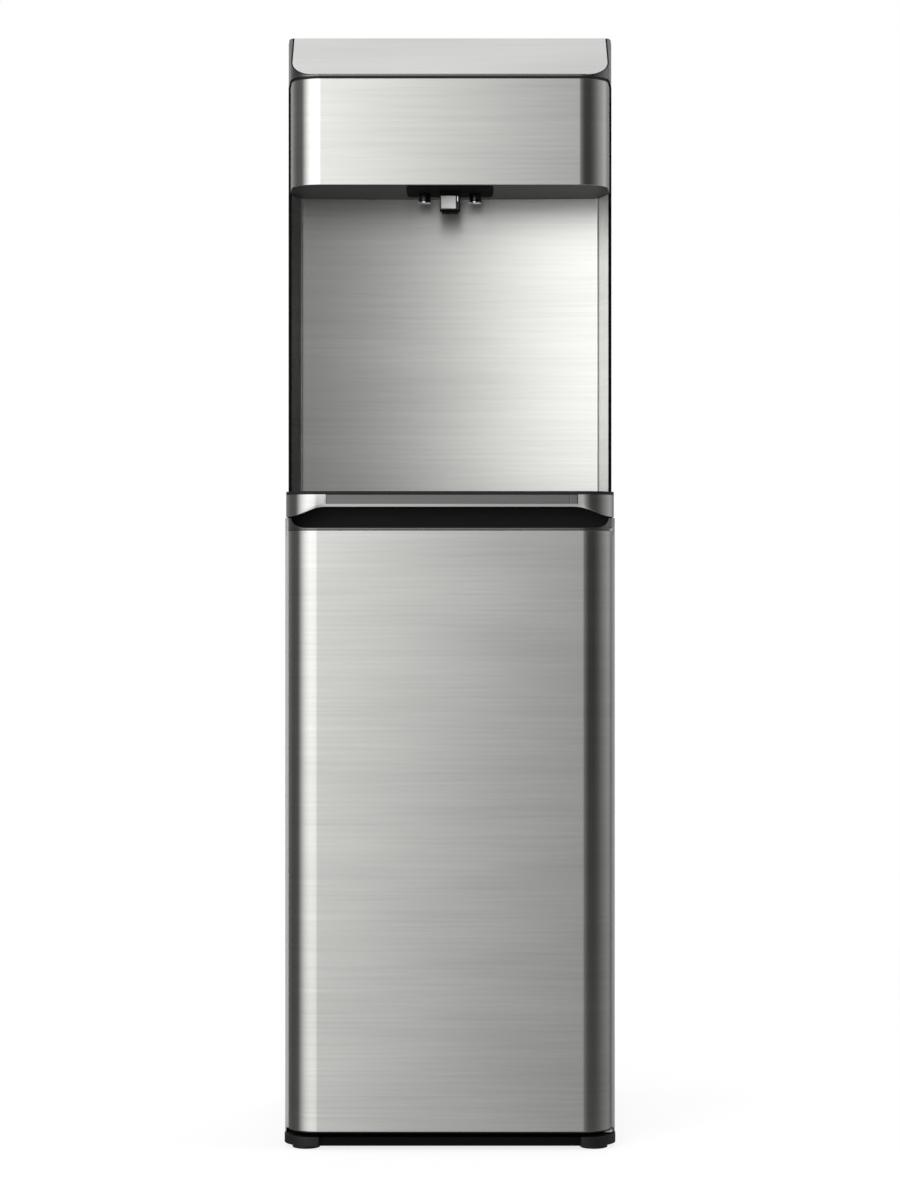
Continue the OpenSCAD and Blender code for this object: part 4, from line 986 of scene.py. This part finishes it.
class COOLER_OT_filter_bay(bpy.types.Operator):
    """Model what the open door shows: two cartridges on their manifold, valve and tubes."""

    bl_idname = "cooler.filter_bay"
    bl_label = "Filter Bay"

    def execute(self, context):
        trace_piece("filter_manifold", "filter_heads", 0.8 * MM, "white_plastic")
        foot, radius, height = axis_of(CARTRIDGES[0])
        dome, neck, shoulder = 12 * MM, radius * 0.55, height - 14 * MM
        angles = [math.radians(10 * i) for i in range(1, 10)]
        rings = [(radius * 0.2, 0)]
        rings += [(radius - dome + dome * math.sin(a), dome * (1 - math.cos(a))) for a in angles]
        # Two moulded grooves
        for start in (30 * MM, height - 60 * MM):
            groove = ((0, 0), (0.8, 0.6), (0.8, 3), (0, 3.6))
            rings += [(wide, start + rise) for wide, rise in rings_of(radius, groove)]
        rings += [(radius, height - 24 * MM), (radius - 4 * MM, shoulder)]
        rings += [(neck, shoulder), (neck, height)]
        shell = turned("shell", foot, rings, 64)
        soften(shell)
        for cad_node, shell in repeated(shell, CARTRIDGES, "_shell"):
            place_piece(shell, [cad_node], "white_plastic", body=cad_node)
        trace_piece("water_tubes", "water_lines", 0, "silicone_tube")
        trace_piece("inlet_valve", "inlet_valve_body", 0, "white_plastic")
        return {"FINISHED"}


class COOLER_OT_rear(bpy.types.Operator):
    """Model the rear: condenser, inlet, drain, cord gland and the two rocker switches."""

    bl_idname = "cooler.rear"
    bl_label = "Rear"

    def execute(self, context):
        trace_piece("condenser_coil", "condenser_tube", 0, "black_paint")
        trace_piece("condenser_grille", "condenser_wires", 0, "black_paint")
        trace_piece("inlet_fitting", "inlet_body", 0.4 * MM, "white_plastic")
        trace_piece("drain_outlet", "drain_spout", 0.4 * MM, "white_plastic")
        trace_piece("drain_cap", "drain_plug", 0.8 * MM, "rubber", "drain_cap")
        trace_piece("cord_gland", "cord_bush", 0.8 * MM, "black_plastic")
        trace_piece("switch_bezels", "switch_frames", 0.5 * MM, "black_plastic")
        trace_piece("hot_switch", "hot_rocker", 0.4 * MM, "red_rocker", "hot_switch")
        trace_piece("cold_switch", "cold_rocker", 0.4 * MM, "green_rocker", "cold_switch")
        return {"FINISHED"}


class COOLER_OT_inside(bpy.types.Operator):
    """Give the tanks, the compressor and the tubes behind the panels their finishes."""

    bl_idname = "cooler.inside"
    bl_label = "Inside"

    def execute(self, context):
        dress("cold_tank", "tank_steel")
        dress("hot_tank", "tank_steel")
        dress("evaporator", "copper")
        dress("heater_band", "heater")
        dress("compressor", "black_paint")
        dress("compressor_mounts", "rubber")
        dress("refrigerant_tubes", "copper")
        trace_piece("tank_insulation", "foam_shells", 2 * MM, "foam")
        return {"FINISHED"}


class COOLER_OT_stage(bpy.types.Operator):
    """Set up the pale floor, the soft studio light and the camera."""

    bl_idname = "cooler.stage"
    bl_label = "Stage"

    def execute(self, context):
        studio = context.scene.cooler_studio
        self.floor()
        self.surround(context.scene, studio.surround)
        middle = Vector((0, 0, 0.5))
        for name, place, power in (
            ("key_light", (-1.4, -2.2, 2.4), studio.key),
            ("right_fill", (2.6, -0.6, 1.6), studio.fill),
            ("left_fill", (-2.6, 0.2, 1.6), studio.fill * 0.7),
            ("rear_fill", (0.5, 2.6, 1.8), studio.fill),
        ):
            clear()
            bpy.ops.object.light_add(type="AREA", location=place)
            lamp = bpy.context.object
            lamp.name = name
            lamp.rotation_euler = (middle - lamp.location).to_track_quat("-Z", "Y").to_euler()
            lamp.data.shape = "DISK"
            lamp.data.size = 1.6
            lamp.data.energy = power
            # Steel mirrors only the soft boxes of the surround
            lamp.visible_glossy = False
        place = (0, -studio.camera_distance, studio.camera_height)
        bpy.ops.object.camera_add(location=place, rotation=(math.pi / 2, 0, 0))
        camera = bpy.context.object
        camera.name = "camera"
        camera.data.lens = studio.lens
        camera.data.sensor_width = 36
        context.scene.camera = camera
        context.scene.view_settings.view_transform = "Standard"
        return {"FINISHED"}

    def floor(self):
        """A pale floor that the camera sees as white, apart from the object's shadow.

        Steel shows the studio below the horizon in its place, as a floor far off would look."""
        clear()
        bpy.ops.mesh.primitive_plane_add(size=12, location=(0, 0, 0))
        ground = bpy.context.object
        ground.name = "floor"
        ground.visible_glossy = False
        material = bpy.data.materials.new("White paper sweep")
        material.use_nodes = True
        tree = material.node_tree
        tree.nodes.clear()
        paper = node(tree, "ShaderNodeBsdfDiffuse", {"Color": (*linear("E6E6E6"), 1)})
        glow = node(tree, "ShaderNodeEmission", {"Color": (1, 1, 1, 1), "Strength": 1.0})
        path = node(tree, "ShaderNodeLightPath")
        place = node(tree, "ShaderNodeTexCoord").outputs["Object"]
        away = node(tree, "ShaderNodeVectorMath", {0: place}, operation="LENGTH").outputs["Value"]
        # The shadow shows most near the object, and fades out with the distance in metres
        fade = node(
            tree,
            "ShaderNodeMapRange",
            {"Value": away, "From Min": 0.5, "From Max": 1.6, "To Min": 0.8, "To Max": 1.0},
            interpolation_type="SMOOTHSTEP",
        )
        share = node(
            tree,
            "ShaderNodeMath",
            {0: path.outputs["Is Camera Ray"], 1: fade},
            operation="MULTIPLY",
        )
        both = node(tree, "ShaderNodeMixShader", {0: share, 1: paper, 2: glow})
        node(tree, "ShaderNodeOutputMaterial", {"Surface": both})
        ground.data.materials.append(material)

    def surround(self, scene, strength):
        """White all round for the camera, and a studio of soft boxes and flags for the metal."""
        world = bpy.data.worlds.new("Studio")
        scene.world = world
        world.use_nodes = True
        tree = world.node_tree
        tree.nodes.clear()
        view = node(tree, "ShaderNodeTexCoord").outputs["Generated"]
        way = node(tree, "ShaderNodeSeparateXYZ", {0: view})
        back = node(tree, "ShaderNodeMath", {0: way.outputs["Y"], 1: -1.0}, operation="MULTIPLY")
        bearing = node(tree, "ShaderNodeMath", {0: way.outputs["X"], 1: back}, operation="ARCTAN2")
        circle = {"From Min": -math.pi, "From Max": math.pi}
        turn = node(tree, "ShaderNodeMapRange", {"Value": bearing, **circle})
        # Brightness by bearing, in degrees to the right of the camera as the door sees it:
        # a broad soft box left of the camera, a black flag to its right, and dim walls behind
        round_about = (
            (-180, 0.18), (-145, 0.13), (-110, 0.05), (-80, 0.05), (-52, 0.7), (-32, 0.92),
            (-4, 0.88), (-1, 0.44), (2, 0.21), (6, 0.11), (14, 0.05), (24, 0.0),
            (46, 0.0), (64, 0.04), (92, 0.16), (120, 0.26), (155, 0.1), (180, 0.18),
        )
        # Brightness by height, from straight down at 0 to straight up at 1: the boxes stand at
        # the object's own height, and a pale floor and ceiling are the same on every side
        heights = (
            (0.0, 0.14), (0.38, 0.2), (0.5, 0.5), (0.58, 0.9), (0.66, 0.95), (0.76, 0.4),
            (1.0, 0.35),
        )
        floor_and_ceiling = (
            (0.0, 0.2), (0.25, 0.15), (0.36, 0.0), (0.63, 0.0), (0.82, 0.12), (1.0, 0.3),
        )
        bearings = [((degrees + 180) / 360, value) for degrees, value in round_about]
        sides = node(tree, "ShaderNodeValToRGB", {0: turn}, bearings)
        upright_span = {"From Min": -1, "From Max": 1}
        rise = node(tree, "ShaderNodeMapRange", {"Value": way.outputs["Z"], **upright_span})
        levels = node(tree, "ShaderNodeValToRGB", {0: rise}, heights)
        studio = node(
            tree,
            "ShaderNodeMix",
            {0: 1.0, 6: sides, 7: levels},
            data_type="RGBA",
            blend_type="MULTIPLY",
        ).outputs[2]
        even = node(tree, "ShaderNodeValToRGB", {0: rise}, floor_and_ceiling)
        whole = node(
            tree,
            "ShaderNodeMix",
            {0: 1.0, 6: studio, 7: even},
            data_type="RGBA",
            blend_type="ADD",
        ).outputs[2]
        boxes = node(tree, "ShaderNodeBackground", {"Color": whole, "Strength": strength})
        white = node(tree, "ShaderNodeBackground", {"Color": (1, 1, 1, 1), "Strength": 1.0})
        path = node(tree, "ShaderNodeLightPath")
        clear_ray = node(
            tree,
            "ShaderNodeMath",
            {0: path.outputs["Is Camera Ray"], 1: path.outputs["Is Transmission Ray"]},
            operation="MAXIMUM",
        )
        seen = node(tree, "ShaderNodeMixShader", {0: clear_ray, 1: boxes, 2: white})
        node(tree, "ShaderNodeOutputWorld", {"Surface": seen})


OPERATORS = (
    COOLER_OT_stage,
    COOLER_OT_cabinet,
    COOLER_OT_door,
    COOLER_OT_head,
    COOLER_OT_outlets,
    COOLER_OT_alcove,
    COOLER_OT_shelf,
    COOLER_OT_filter_bay,
    COOLER_OT_rear,
    COOLER_OT_inside,
)

GROUPS = {
    "cooler_sizes": CoolerSizes,
    "cooler_colours": CoolerColours,
    "cooler_studio": StudioSettings,
}


class COOLER_PT_panel(bpy.types.Panel):
    """The cooler's pieces, sizes and colours."""

    bl_label = "Water Cooler"
    bl_idname = "COOLER_PT_panel"
    bl_space_type = "VIEW_3D"
    bl_region_type = "UI"
    bl_category = "Cooler"

    def draw(self, context):
        for operator in OPERATORS:
            self.layout.operator(operator.bl_idname)
        for name in GROUPS:
            group = getattr(context.scene, name)
            for setting in group.__annotations__:
                self.layout.prop(group, setting)


def register():
    """Adds the settings, the operators and the panel."""
    for name, group in GROUPS.items():
        bpy.utils.register_class(group)
        setattr(bpy.types.Scene, name, bpy.props.PointerProperty(type=group))
    for operator in OPERATORS:
        bpy.utils.register_class(operator)
    bpy.utils.register_class(COOLER_PT_panel)


def unregister():
    """Takes away what register added."""
    bpy.utils.unregister_class(COOLER_PT_panel)
    for operator in reversed(OPERATORS):
        bpy.utils.unregister_class(operator)
    for name, group in reversed(GROUPS.items()):
        delattr(bpy.types.Scene, name)
        bpy.utils.unregister_class(group)


def main():
    """Builds the whole scene."""
    register()
    FINISHES.update(make_materials(bpy.context.scene.cooler_colours))
    bpy.ops.cooler.stage()
    bpy.ops.cooler.cabinet()
    bpy.ops.cooler.door()
    bpy.ops.cooler.head()
    bpy.ops.cooler.outlets()
    bpy.ops.cooler.alcove()
    bpy.ops.cooler.shelf()
    bpy.ops.cooler.filter_bay()
    bpy.ops.cooler.rear()
    bpy.ops.cooler.inside()


if __name__ == "__main__":
    main()
